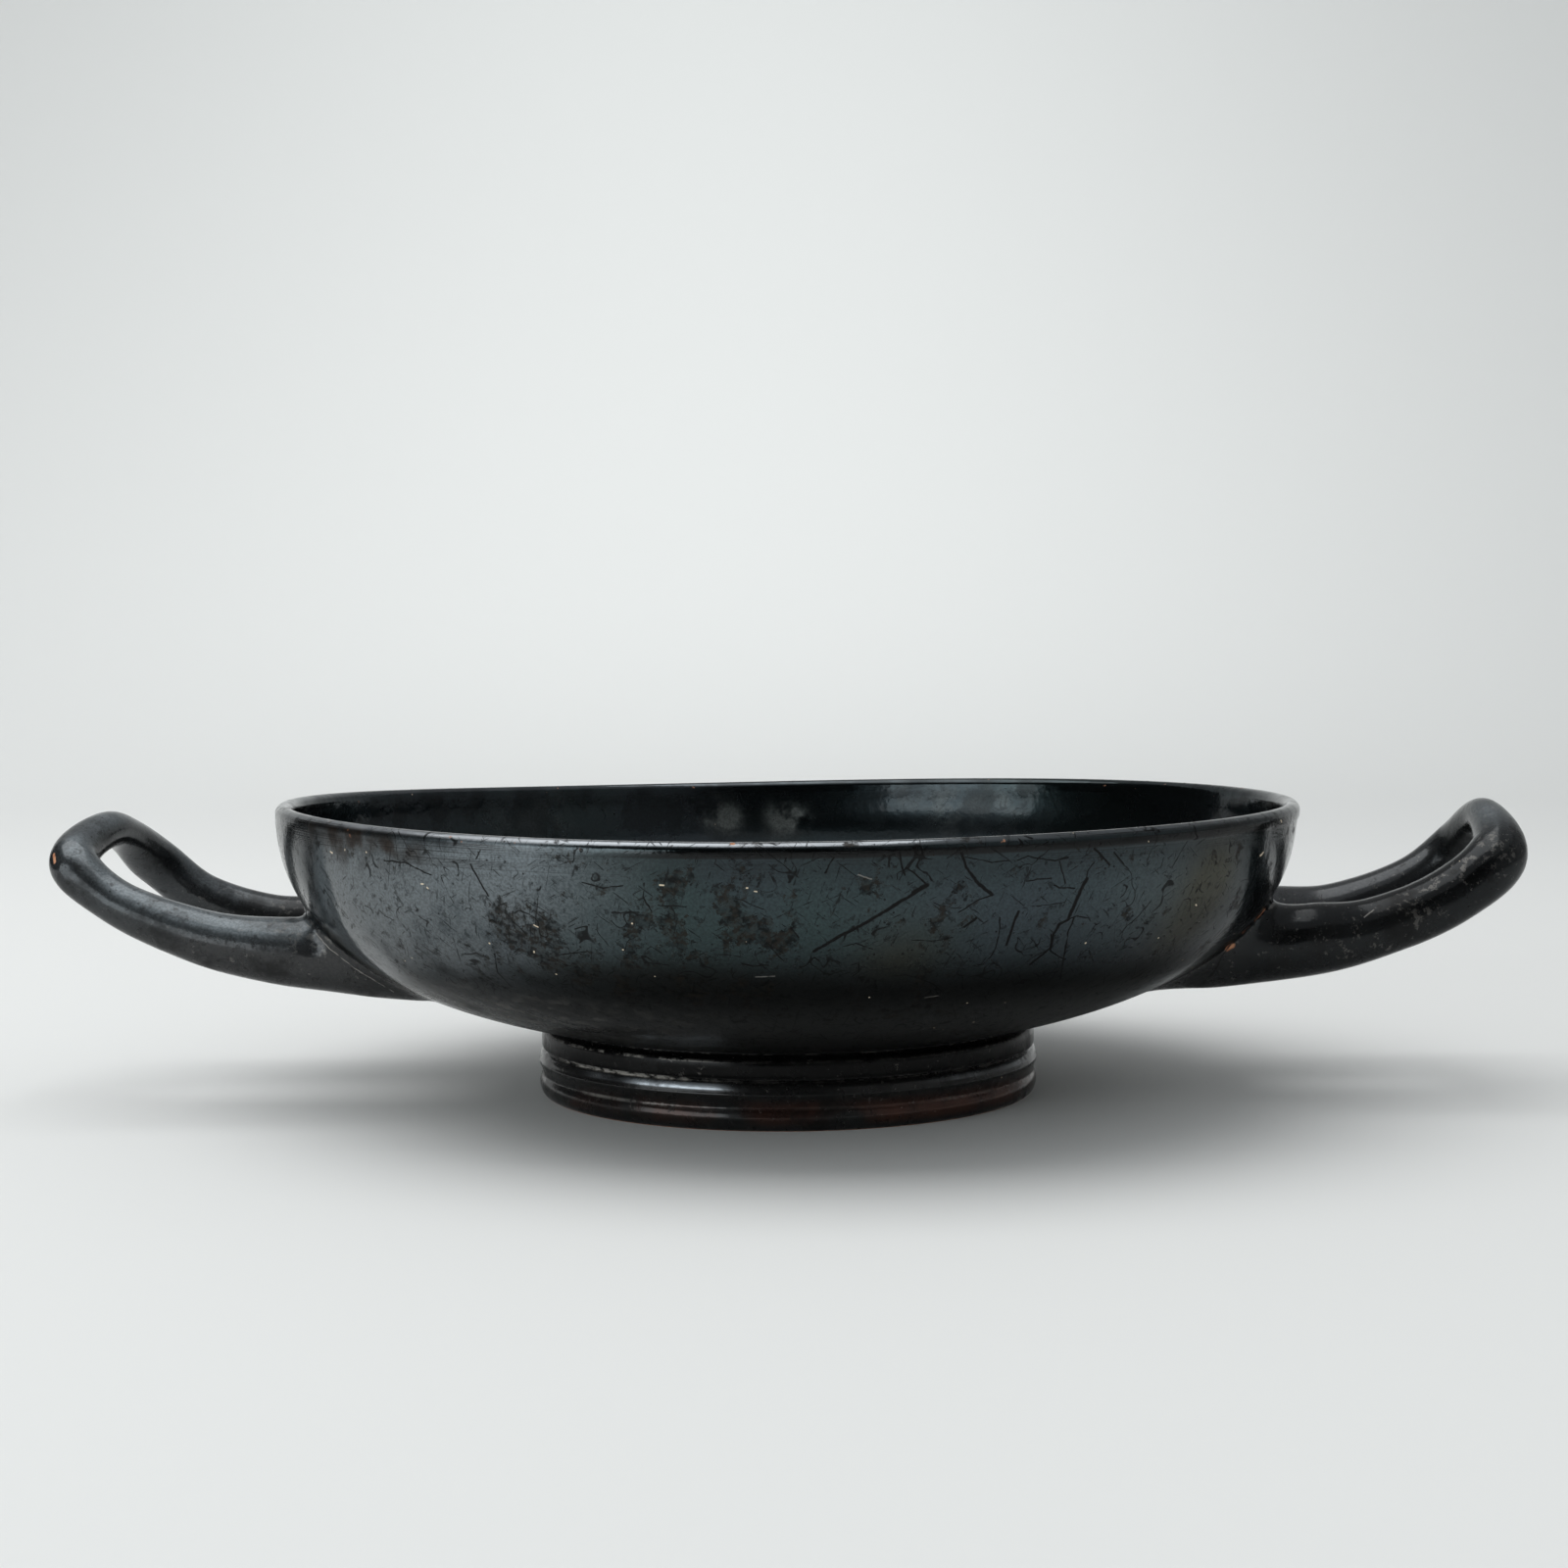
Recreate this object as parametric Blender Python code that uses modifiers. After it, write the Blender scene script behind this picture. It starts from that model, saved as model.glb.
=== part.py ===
# A shallow two-handled drinking bowl of fired clay with a glossy black coat.
# A thrown bowl, a turned ring foot and two rolled loop handles, joined wet and fired as one piece.
# The bowl's turning axis is Z, the table is z = 0, and the handles reach out along -X and +X.

import math

import bmesh
import bpy

# Bowl, in metres
RIM_RADIUS = 0.0850          # outer edge of the lip
LIP_THICKNESS = 0.0028       # the lip is a half round of this width
LIP_OVERHANG = 0.0003        # how far the lip stands out past the wall under it
BOWL_DEPTH = 0.03645         # from the top of the foot to the top of the lip
BELLY_FULLNESS = 2.45        # 2 is an ellipse, more is squarer at the shoulder
WIDEST_UNDER_LIP = 0.00045   # how far the widest level of the wall lies under the top of the lip
FLOOR_THICKNESS = 0.0046     # at the middle of the bowl
RIM_SADDLE = 0.00078         # the rim dried out of true, up at the handles and down between them
SADDLE_TURN = math.radians(9)

# Ring foot, from the table up. Heights are of each moulding, insets are in from the ring's sharp edge
FOOT_RADIUS = 0.04225        # the sharp edge of the ring, the widest place of the foot
RESTING_WIDTH = 0.0053       # the flat that stands on the table
RESTING_INSET = 0.00095
TORUS_HEIGHT = 0.0036        # the round moulding at the bottom
TORUS_BULGE = 0.0006
TORUS_INSET = 0.0007
FASCIA_HEIGHT = 0.0021       # leans out up to the sharp edge
SLOPE_HEIGHT = 0.0017        # falls back from the sharp edge to the groove
GROOVE_INSET = 0.0011
GROOVE_HEIGHT = 0.0005
BAND_HEIGHT = 0.0032
BAND_INSET = 0.00085
BAND_BULGE = 0.0002
NECK_HEIGHT = 0.0011
NECK_DEPTH = 0.0006          # the undercut between the band and the bowl
FOOT_WALL_LEAN = 0.0018      # how far the inside of the foot leans in on its way up

# Loop handles
ROOT_LEVEL = 0.329           # share of the bowl's depth at which the rolls leave the wall
HANDLES = {
    "left": {
        "side": -1,
        "projection": 0.0295,    # middle of the roll at the tip, out from the rim
        "half_spread": 0.0204,   # middle of each arm at its root, from the middle of the handle
        "rise": 0.0204,          # middle of the roll, from the roots up to the tip
        "lean": -0.200,          # how far out it leans per metre towards the back, at the tip
        "tilt": -0.088,          # how far up it leans per metre towards the back, at the tip
        "front_radii": (0.0069, 0.0055, 0.0045, 0.0037, 0.0039, 0.0031),
        "back_radii": (0.0072, 0.0051, 0.0045, 0.0041, 0.0041, 0.0031),
    },
    "right": {
        "side": 1,
        "projection": 0.0331,
        "half_spread": 0.0158,
        "rise": 0.0211,
        "lean": 0.009,
        "tilt": -0.027,
        "front_radii": (0.0067, 0.0060, 0.0050, 0.0048, 0.0049, 0.0030),
        "back_radii": (0.0068, 0.0061, 0.0048, 0.0042, 0.0046, 0.0030),
    },
}
# Half of a loop from its root to its tip, as shares of its reach, its half spread and its rise
LOOP_STATIONS = (
    (0.0, 1.0, 0.0),
    (0.445, 1.012, 0.090),
    (0.646, 0.987, 0.176),
    (0.865, 0.892, 0.428),
    (0.986, 0.739, 0.711),
    (1.0, 0.0, 1.0),
)

# Facets
TURNING_STEPS = 64
INSIDE_STEPS = 12
OUTSIDE_STEPS = 16
LIP_STEPS = 7
BULGE_STEPS = 5
UNDERSIDE_STEPS = 5
LOOP_STEPS = 4               # between two stations of a handle
ROLL_BEVEL_RESOLUTION = 4    # twelve sides round a roll

MERGE = 0.00001
ROOT_BURIED = 0.0005         # how far the lowest edge of a root lies inside the wall's outer face
CUTTER_SPARE = 0.010         # how far the cutter stands above the rim

# Worked out from the sizes above
FOOT_HEIGHT = TORUS_HEIGHT + FASCIA_HEIGHT + SLOPE_HEIGHT + GROOVE_HEIGHT + BAND_HEIGHT + NECK_HEIGHT
RIM_HEIGHT = FOOT_HEIGHT + BOWL_DEPTH
LIP_ROUND = LIP_THICKNESS / 2
WALL_RADIUS = RIM_RADIUS - LIP_OVERHANG
WIDEST_LEVEL = RIM_HEIGHT - WIDEST_UNDER_LIP
INSIDE_RADIUS = RIM_RADIUS - LIP_THICKNESS
INSIDE_LEVEL = RIM_HEIGHT - LIP_ROUND
NECK_RADIUS = FOOT_RADIUS - BAND_INSET


def belly_drop(share):
    """Share of the belly's depth reached where its radius is this share of the widest one."""
    return math.sqrt(1 - min(share, 1.0) ** 2) ** (2 / BELLY_FULLNESS)


BELLY_DEPTH = (WIDEST_LEVEL - FOOT_HEIGHT) / belly_drop(NECK_RADIUS / WALL_RADIUS)
INSIDE_DEPTH = INSIDE_LEVEL - (WIDEST_LEVEL - BELLY_DEPTH + FLOOR_THICKNESS)


def belly(radius, level, depth, start, end, steps):
    """Points along a belly between two shares of its widest radius, evenly in angle."""
    first, last = math.acos(start), math.acos(end)
    points = []
    for i in range(steps + 1):
        angle = first + (last - first) * i / steps
        share = math.cos(angle)
        points.append((radius * share, level - depth * belly_drop(share)))
    return points


def outside_radius(height):
    """Radius of the bowl's outer face at a height."""
    drop = max(0.0, WIDEST_LEVEL - height) / BELLY_DEPTH
    return WALL_RADIUS * math.sqrt(1 - drop ** BELLY_FULLNESS)


def outside_share(height):
    """Radius of the outer face at a height, as a share of its widest."""
    return outside_radius(height) / WALL_RADIUS


def bulge(start, end, swell):
    """Points of a flat arc between two profile points, swelling outwards, without its first point."""
    points = []
    for i in range(1, BULGE_STEPS + 1):
        t = i / BULGE_STEPS
        out = swell * 4 * t * (1 - t)
        points.append((start[0] + (end[0] - start[0]) * t + out, start[1] + (end[1] - start[1]) * t))
    return points


def lip_profile():
    """The half round of the lip, from its inner edge over the top to where it meets the wall."""
    centre = RIM_RADIUS - LIP_ROUND
    wall_angle = -math.acos((WALL_RADIUS - centre) / LIP_ROUND)
    points = []
    for i in range(LIP_STEPS + 1):
        angle = math.pi + (wall_angle - math.pi) * i / LIP_STEPS
        points.append((centre + LIP_ROUND * math.cos(angle), INSIDE_LEVEL + LIP_ROUND * math.sin(angle)))
    return points


def foot_profile():
    """The mouldings of the ring foot, from the bowl down to the flat that rests on the table."""
    torus_top = (FOOT_RADIUS - TORUS_INSET, TORUS_HEIGHT)
    edge = (FOOT_RADIUS, TORUS_HEIGHT + FASCIA_HEIGHT)
    groove_bottom = (FOOT_RADIUS - GROOVE_INSET, edge[1] + SLOPE_HEIGHT)
    band_bottom = (FOOT_RADIUS - BAND_INSET, groove_bottom[1] + GROOVE_HEIGHT)
    band_top = (FOOT_RADIUS - BAND_INSET, band_bottom[1] + BAND_HEIGHT)
    neck = (NECK_RADIUS - NECK_DEPTH, band_top[1] + NECK_HEIGHT / 2)
    resting_edge = (FOOT_RADIUS - RESTING_INSET, 0.0)
    points = [neck, band_top]
    points += bulge(band_top, band_bottom, BAND_BULGE)
    points += [groove_bottom, edge, torus_top]
    points += bulge(torus_top, resting_edge, TORUS_BULGE)
    points.append((resting_edge[0] - RESTING_WIDTH, 0.0))
    return points


def underside_profile(foot_inside):
    """Up the inside of the foot and across the bowl's own underside to the axis."""
    ceiling_share = (foot_inside - FOOT_WALL_LEAN) / WALL_RADIUS
    return belly(WALL_RADIUS, WIDEST_LEVEL, BELLY_DEPTH, ceiling_share, 0.0, UNDERSIDE_STEPS)


def vessel_profile():
    """The whole turned section, from the floor's middle, over the lip, and back under the foot."""
    inside = belly(INSIDE_RADIUS, INSIDE_LEVEL, INSIDE_DEPTH, 0.0, 1.0, INSIDE_STEPS)
    lip = lip_profile()
    wall_start = outside_share(lip[-1][1])
    neck_share = NECK_RADIUS / WALL_RADIUS
    outside = belly(WALL_RADIUS, WIDEST_LEVEL, BELLY_DEPTH, wall_start, neck_share, OUTSIDE_STEPS)
    foot = foot_profile()
    return inside[:-1] + lip + outside[1:] + foot + underside_profile(foot[-1][0])


def core_profile():
    """A turned plug whose side runs in the middle of the wall: it trims the handles' roots."""
    top = RIM_HEIGHT + CUTTER_SPARE
    radius = (WALL_RADIUS + INSIDE_RADIUS) / 2
    level = INSIDE_LEVEL
    depth = level - (WIDEST_LEVEL - BELLY_DEPTH + FLOOR_THICKNESS / 2)
    return [(0.0, top), (radius, top)] + belly(radius, level, depth, 1.0, 0.0, INSIDE_STEPS)


def turned(name, profile, collection):
    """A profile of (radius, height) points turned about Z with a Screw modifier."""
    mesh = bpy.data.meshes.new(name)
    edges = [(i, i + 1) for i in range(len(profile) - 1)]
    mesh.from_pydata([(radius, 0.0, height) for radius, height in profile], edges, [])
    item = bpy.data.objects.new(name, mesh)
    collection.objects.link(item)
    screw = item.modifiers.new("turn", "SCREW")
    screw.steps = TURNING_STEPS
    screw.render_steps = TURNING_STEPS
    screw.use_merge_vertices = True
    screw.merge_threshold = MERGE
    return item


def as_mesh(item, name, collection):
    """Replace an object by one with its evaluated mesh, its doubled points welded."""
    graph = bpy.context.evaluated_depsgraph_get()
    mesh = bpy.data.meshes.new_from_object(item.evaluated_get(graph))
    work = bmesh.new()
    work.from_mesh(mesh)
    bmesh.ops.remove_doubles(work, verts=work.verts, dist=MERGE)
    work.to_mesh(mesh)
    work.free()
    result = bpy.data.objects.new(name, mesh)
    result.matrix_world = item.matrix_world.copy()
    collection.objects.link(result)
    bpy.data.objects.remove(item)
    return result


def bend_rim(item):
    """Lift the rim at the handles and lower it between them, fading to nothing at the foot."""
    for vertex in item.data.vertices:
        x, y, z = vertex.co
        height = max(0.0, (z - FOOT_HEIGHT) / BOWL_DEPTH)
        around = math.atan2(y, x) - SADDLE_TURN
        vertex.co.z = z + RIM_SADDLE * math.cos(2 * around) * height ** 2


def hermite(start, start_slope, end, end_slope, t):
    """A cubic between two values with a slope at each end, at the share t of the way."""
    return (
        (1 + 2 * t) * (1 - t) ** 2 * start
        + t * (1 - t) ** 2 * start_slope
        + t * t * (3 - 2 * t) * end
        + t * t * (t - 1) * end_slope
    )


def smooth_through(stations, steps):
    """Points of a smooth curve through stations: x, y and z first, then whatever changes with them."""
    pairs = list(zip(stations, stations[1:]))
    gaps = [math.sqrt(math.dist(a[:3], b[:3])) for a, b in pairs]
    speeds = [[(q - p) / gap for p, q in zip(a, b)] for (a, b), gap in zip(pairs, gaps)]
    slopes = [speeds[0]]
    for before, after, near, far in zip(speeds, speeds[1:], gaps, gaps[1:]):
        slopes.append([(p * far + q * near) / (near + far) for p, q in zip(before, after)])
    slopes.append(speeds[-1])
    points = []
    for i, gap in enumerate(gaps):
        ends = list(zip(stations[i], slopes[i], stations[i + 1], slopes[i + 1]))
        for j in range(steps):
            t = j / steps
            points.append(tuple(hermite(p, m * gap, q, n * gap, t) for p, m, q, n in ends))
    points.append(tuple(stations[-1]))
    return points


def loop_stations(handle):
    """x, y, z and roll radius from the front root over the tip to the back root."""
    root_height = FOOT_HEIGHT + ROOT_LEVEL * BOWL_DEPTH
    root_radius = outside_radius(root_height - handle["front_radii"][0]) - ROOT_BURIED
    root_out = math.sqrt(root_radius ** 2 - handle["half_spread"] ** 2)
    reach = RIM_RADIUS + handle["projection"] - root_out
    arm_share = LOOP_STATIONS[1][0]
    front, back = [], []
    for (out, spread, rise), front_roll, back_roll in zip(
            LOOP_STATIONS, handle["front_radii"], handle["back_radii"]):
        free = max(0.0, (out - arm_share) / (1 - arm_share))
        far, wide = root_out + reach * out, handle["half_spread"] * spread
        height = root_height + handle["rise"] * rise
        front.append((far, -wide, height, front_roll, free))
        back.append((far, wide, height, back_roll, free))
    loop = []
    for x, y, z, roll, free in front + back[-2::-1]:
        out = x + handle["lean"] * y * free
        loop.append((handle["side"] * out, y, z + handle["tilt"] * y * free, roll))
    return loop


def handle_roll(name, handle, core, collection):
    """One rolled loop as a tapering tube, trimmed inside the wall."""
    curve = bpy.data.curves.new(name, "CURVE")
    curve.dimensions = "3D"
    curve.bevel_depth = 1.0
    curve.bevel_resolution = ROLL_BEVEL_RESOLUTION
    curve.use_fill_caps = True
    points = smooth_through(loop_stations(handle), LOOP_STEPS)
    spline = curve.splines.new("POLY")
    spline.points.add(len(points) - 1)
    for place, (x, y, z, roll) in zip(spline.points, points):
        place.co = (x, y, z, 1.0)
        place.radius = roll
    item = bpy.data.objects.new(name, curve)
    collection.objects.link(item)
    item = as_mesh(item, name, collection)
    join(item, core, "DIFFERENCE")
    return item


def join(item, other, operation):
    """Add a Boolean between two closed objects."""
    modifier = item.modifiers.new(operation.lower(), "BOOLEAN")
    modifier.operation = operation
    modifier.solver = "EXACT"
    modifier.object = other


def hide(item):
    item.hide_render = True
    item.display_type = "WIRE"


def black_gloss():
    material = bpy.data.materials.new("black_gloss")
    material.use_nodes = True
    shader = material.node_tree.nodes["Principled BSDF"]
    shader.inputs["Base Color"].default_value = (0.012, 0.012, 0.013, 1.0)
    shader.inputs["Roughness"].default_value = 0.28
    shader.inputs["Metallic"].default_value = 0.0
    return material


def main():
    for item in list(bpy.data.objects):
        bpy.data.objects.remove(item)
    parts = bpy.data.collections.new("drinking_bowl")
    tools = bpy.data.collections.new("cutters")
    bpy.context.scene.collection.children.link(parts)
    bpy.context.scene.collection.children.link(tools)

    core = turned("core", core_profile(), tools)
    hide(core)
    bowl = as_mesh(turned("vessel", vessel_profile(), parts), "bowl", parts)
    bend_rim(bowl)
    for name, handle in HANDLES.items():
        roll = handle_roll("handle_" + name, handle, core, tools)
        hide(roll)
        join(bowl, roll, "UNION")
    bowl.data.materials.clear()
    bowl.data.materials.append(black_gloss())
    bowl.data.shade_smooth()
    bowl.data.set_sharp_from_angle(angle=math.radians(30))


main()
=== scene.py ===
# A black-gloss drinking bowl of fired clay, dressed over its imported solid.
# Metres throughout, in the solid's own frame: the bowl turns about Z and stands on z = 0.

import math

import bmesh
import bpy
import numpy as np
from mathutils import Matrix, Vector, noise
from mathutils.bvhtree import BVHTree
from mathutils.kdtree import KDTree


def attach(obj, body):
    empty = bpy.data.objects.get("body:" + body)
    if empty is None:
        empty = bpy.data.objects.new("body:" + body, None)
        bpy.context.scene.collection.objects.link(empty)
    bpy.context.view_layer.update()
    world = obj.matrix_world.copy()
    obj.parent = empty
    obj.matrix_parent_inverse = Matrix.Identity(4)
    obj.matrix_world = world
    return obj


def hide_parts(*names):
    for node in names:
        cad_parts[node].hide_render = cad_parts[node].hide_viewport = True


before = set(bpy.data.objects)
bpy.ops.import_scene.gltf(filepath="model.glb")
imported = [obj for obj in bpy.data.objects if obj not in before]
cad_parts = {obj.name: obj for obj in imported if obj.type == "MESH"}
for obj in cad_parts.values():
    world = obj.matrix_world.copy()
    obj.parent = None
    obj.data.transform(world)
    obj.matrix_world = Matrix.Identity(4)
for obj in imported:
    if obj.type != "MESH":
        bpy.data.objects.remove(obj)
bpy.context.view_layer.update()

# The photograph's camera
IMAGE_SIZE = 1600
FOCAL_PIXELS = 2525.8
SENSOR_WIDTH = 36.0
CAMERA_PLACE = Vector((-0.00036, -0.41907, 0.07279))
CAMERA_PITCH = 0.0507        # radians down from level
CAMERA_ROLL = -0.0070
CLIP_START = 0.01

# Bowl
RIM_RADIUS = 0.085
LIP_THICKNESS = 0.0028
LIP_BAND = 0.0021
LIP_FADE = 0.0008
LIP_OVERHANG = 0.0003
BELLY_FULLNESS = 2.45
WIDEST_UNDER_LIP = 0.00045
FLOOR_THICKNESS = 0.0046
FOOT_HEIGHT = 0.0122
RIM_HEIGHT = 0.04865
NECK_RADIUS = 0.0414

# The foot's mouldings from the bowl down to the table, as radius and height
FOOT_STATIONS = (
    (0.04085, 0.01165), (0.04135, 0.01115), (0.0416, 0.01065), (0.04168, 0.0092), (0.0416, 0.008),
    (0.0412, 0.00768), (0.04165, 0.00735), (0.0419, 0.0069), (0.04212, 0.0061), (0.04222, 0.00575),
    (0.04212, 0.0053), (0.04178, 0.0045), (0.0416, 0.00375), (0.04166, 0.00345), (0.0419, 0.0029),
    (0.04207, 0.0021), (0.04195, 0.0012), (0.0416, 0.0004), (0.0411, 0.0),
)
FOOT_INSIDE = 0.036
FOOT_WALL_LEAN = 0.0018
FOOT_ROUND = 0.0006

# Out of true: lifts of the rim, a flare of the lip at one handle, a sag of the belly at the other
RIM_SADDLE = 0.00078
SADDLE_TURN = math.radians(9)
RIM_TRIPLE = -0.00023
LIP_FLARE = 0.0004
LIP_FLARE_HEIGHT = 0.01
BELLY_SAG = 0.0005
SAG_TOP = 0.6                # share of the bowl's height
SHOULDER_LEVEL = 0.03
WOBBLE = 0.00012
WOBBLE_SCALE = 28.0

# Loop handles
ROOT_LEVEL = 0.329
ROOT_BURIED = 0.0005
HANDLES = {
    "left": {
        "side": -1,
        "projection": 0.0295,
        "half_spread": 0.0204,
        "rise": 0.0204,
        "lean": -0.2,
        "tilt": -0.088,
        "front_radii": (0.0069, 0.0055, 0.0045, 0.0037, 0.0039, 0.0031),
        "back_radii": (0.0072, 0.0051, 0.0045, 0.0041, 0.0041, 0.0031),
        "back_lift": (0.0, 0.0, -0.0002, -0.0003, 0.0004, 0.0),
        "collar": 0.0014,
        "collar_reach": 0.0014,
        "front_fillet": 0.0026,
        "back_fillet": 0.0026,
    },
    "right": {
        "side": 1,
        "projection": 0.0331,
        "half_spread": 0.0158,
        "rise": 0.0211,
        "lean": 0.009,
        "tilt": -0.027,
        "front_radii": (0.0067, 0.006, 0.005, 0.0048, 0.0049, 0.003),
        "back_radii": (0.0068, 0.0061, 0.0048, 0.0042, 0.0046, 0.003),
        "back_lift": (0.0, 0.0, 0.0, 0.0003, 0.0004, 0.0),
        "collar": 0.0018,
        "collar_reach": 0.0026,
        "front_fillet": 0.0085,
        "back_fillet": 0.003,
    },
}
LOOP_STATIONS = (
    (0.0, 1.0, 0.0),
    (0.445, 1.012, 0.09),
    (0.646, 0.987, 0.176),
    (0.865, 0.892, 0.428),
    (0.986, 0.739, 0.711),
    (1.0, 0.0, 1.0),
)

# Clay that luted the rolls on, and the unevenness of hand-rolled clay
COLLAR_LUMPS = 0.35
COLLAR_LUMP_SCALE = 260.0
BACK_COLLAR = 0.7
UNDER_COLLAR = 0.95
UNDER_GAIN = 2.0
CREASE_ANGLE = math.radians(20)
FILLET_PASSES = 26
FILLET_GAIN = 1.5
ROLL_WOBBLE = 0.00022
ROLL_WOBBLE_SCALE = 90.0

# Chips pressed into the surface: x and y in the photograph, radius and depth
CHIPS = (
    (1150, 852, 0.0016, 0.00018),
    (1166, 848, 0.0014, 0.00012),
    (56, 877, 0.0017, 0.00035),
    (66, 888, 0.0018, 0.0002),
    (1256, 966, 0.0016, 0.0004),
    (320, 962, 0.0022, 0.0005),
    (747, 861, 0.001, 0.00012),
)

# Soft spots that steer the material: x and y in the photograph, radius and strength
SOFT_SPOTS = {
    "worn": (
        (545, 943, 0.0045, 1.1), (522, 962, 0.004, 1.0), (558, 966, 0.0032, 0.8), (508, 930, 0.0028, 0.7),
        (646, 944, 0.0026, 1.0), (672, 933, 0.0024, 0.8), (690, 948, 0.003, 0.8), (735, 940, 0.0034, 1.1),
        (768, 950, 0.0034, 1.0), (706, 966, 0.003, 0.9), (795, 965, 0.0026, 0.8), (646, 973, 0.0024, 0.9),
        (570, 988, 0.0026, 0.8), (600, 990, 0.0024, 0.7), (500, 993, 0.003, 0.7), (640, 1003, 0.004, 0.8),
        (705, 1008, 0.005, 0.9), (760, 1012, 0.0045, 0.7), (676, 905, 0.0026, 1.0), (608, 907, 0.0018, 0.9),
        (565, 872, 0.0016, 0.7), (768, 904, 0.0022, 0.9), (733, 905, 0.0012, 0.8), (876, 900, 0.0018, 0.8),
        (893, 914, 0.0024, 0.8), (804, 930, 0.0012, 0.9), (985, 928, 0.0018, 0.5), (950, 965, 0.005, 0.4),
        (1118, 872, 0.0028, 0.5), (400, 895, 0.003, 0.3), (975, 922, 0.003, 0.4), (1035, 893, 0.003, 0.4),
        (555, 905, 0.0016, 0.7),
    ),
    "brown": (
        (318, 842, 0.003, 0.9), (340, 850, 0.0032, 1.1), (365, 856, 0.0032, 1.2), (392, 861, 0.003, 1.1),
        (418, 866, 0.0026, 0.8), (352, 862, 0.0028, 0.9),
    ),
    "olive": (
        (1225, 920, 0.0085, 0.9), (1245, 880, 0.006, 0.6), (1200, 960, 0.006, 0.5), (930, 978, 0.006, 0.5),
        (900, 990, 0.005, 0.4), (380, 900, 0.007, 0.25),
    ),
    # Silvery patches inside, which also paint glints of reflected light
    "silver": (
        (925, 814, 0.004, 0.2), (975, 822, 0.005, 0.5), (1030, 815, 0.004, 0.3), (730, 833, 0.0024, 2.2),
        (745, 834, 0.002, 2.2), (798, 834, 0.0026, 2.4), (815, 834, 0.002, 2.2), (540, 832, 0.01, 0.15),
    ),
    # Painted sheen: places where the left wall, the wall's edges and the handles' tops catch light
    "film": (
        (430, 925, 0.015, 0.95), (525, 900, 0.011, 0.45), (600, 900, 0.009, 0.25),
        (1170, 915, 0.0085, 0.12), (398, 993, 0.006, 1.0), (495, 868, 0.008, 1.1),
        (360, 905, 0.009, 0.6), (372, 945, 0.01, 0.7), (430, 1012, 0.005, 0.6),
        (344, 946, 0.006, 1.0), (367, 971, 0.006, 1.0), (338, 915, 0.0055, 0.9),
        (332, 885, 0.0045, 0.9), (292, 870, 0.004, 0.7), (1293, 880, 0.0035, 0.6),
        (1209, 989, 0.006, 0.3), (1167, 1010, 0.006, 0.35), (72, 860, 0.0035, 0.6),
        (112, 834, 0.006, 1.2), (110, 885, 0.008, 0.7), (150, 915, 0.008, 0.8),
        (200, 932, 0.009, 1.0), (255, 948, 0.009, 0.9), (300, 955, 0.006, 0.5),
        (170, 880, 0.008, 0.6), (230, 900, 0.008, 0.7), (1512, 830, 0.006, 1.0),
    ),
    "shade": (
        (316, 866, 0.0022, 0.8), (315, 886, 0.0022, 0.9), (318, 906, 0.0022, 0.8), (1277, 880, 0.0026, 0.5),
        (1274, 905, 0.0026, 0.5), (1313, 858, 0.0024, 0.6),
    ),
    # Painted shade on the right handle, where the bowl keeps the light off it
    "soot": (
        (1300, 975, 0.012, 0.8), (1360, 965, 0.012, 0.8), (1430, 950, 0.014, 0.8),
        (1500, 910, 0.012, 0.6), (1540, 870, 0.009, 0.4),
    ),
    "dust": (
        (283, 944, 0.0024, 0.6), (303, 952, 0.0022, 0.6), (318, 958, 0.0016, 0.7), (262, 938, 0.002, 0.3),
        (330, 972, 0.0014, 0.6),
    ),
    "scuffs": (
        (1442, 930, 0.003, 1.0), (1412, 964, 0.0016, 0.8), (1470, 905, 0.003, 0.6),
        (1503, 885, 0.004, 0.6), (1530, 862, 0.004, 0.7), (1548, 880, 0.004, 0.5),
        (1497, 845, 0.003, 0.8), (1515, 830, 0.004, 0.6), (1380, 962, 0.004, 0.5),
        (1320, 940, 0.003, 0.5), (285, 925, 0.003, 0.5), (180, 940, 0.003, 0.3),
    ),
    "lime": (
        (585, 1093, 0.006, 1.0), (620, 1099, 0.007, 1.0), (660, 1104, 0.007, 0.8),
        (700, 1107, 0.005, 0.4), (608, 1119, 0.0022, 0.8), (975, 1127, 0.0026, 0.7),
        (660, 1132, 0.005, 0.4), (1000, 1088, 0.005, 0.2),
    ),
    # Painted highlight on the foot's ridge
    "ridge": (
        (655, 1109, 0.003, 1.2), (690, 1112, 0.003, 1.4), (720, 1113, 0.0026, 1.4),
        (985, 1109, 0.005, 0.25), (1035, 1100, 0.005, 0.35), (610, 1101, 0.003, 0.3),
    ),
    "specks": (
        (1180, 847, 0.004, 0.5), (1300, 846, 0.0024, 1.0), (1290, 872, 0.0016, 0.6),
        (700, 1010, 0.012, 0.5), (560, 1010, 0.01, 0.4), (1150, 990, 0.008, 0.4),
    ),
}

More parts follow.
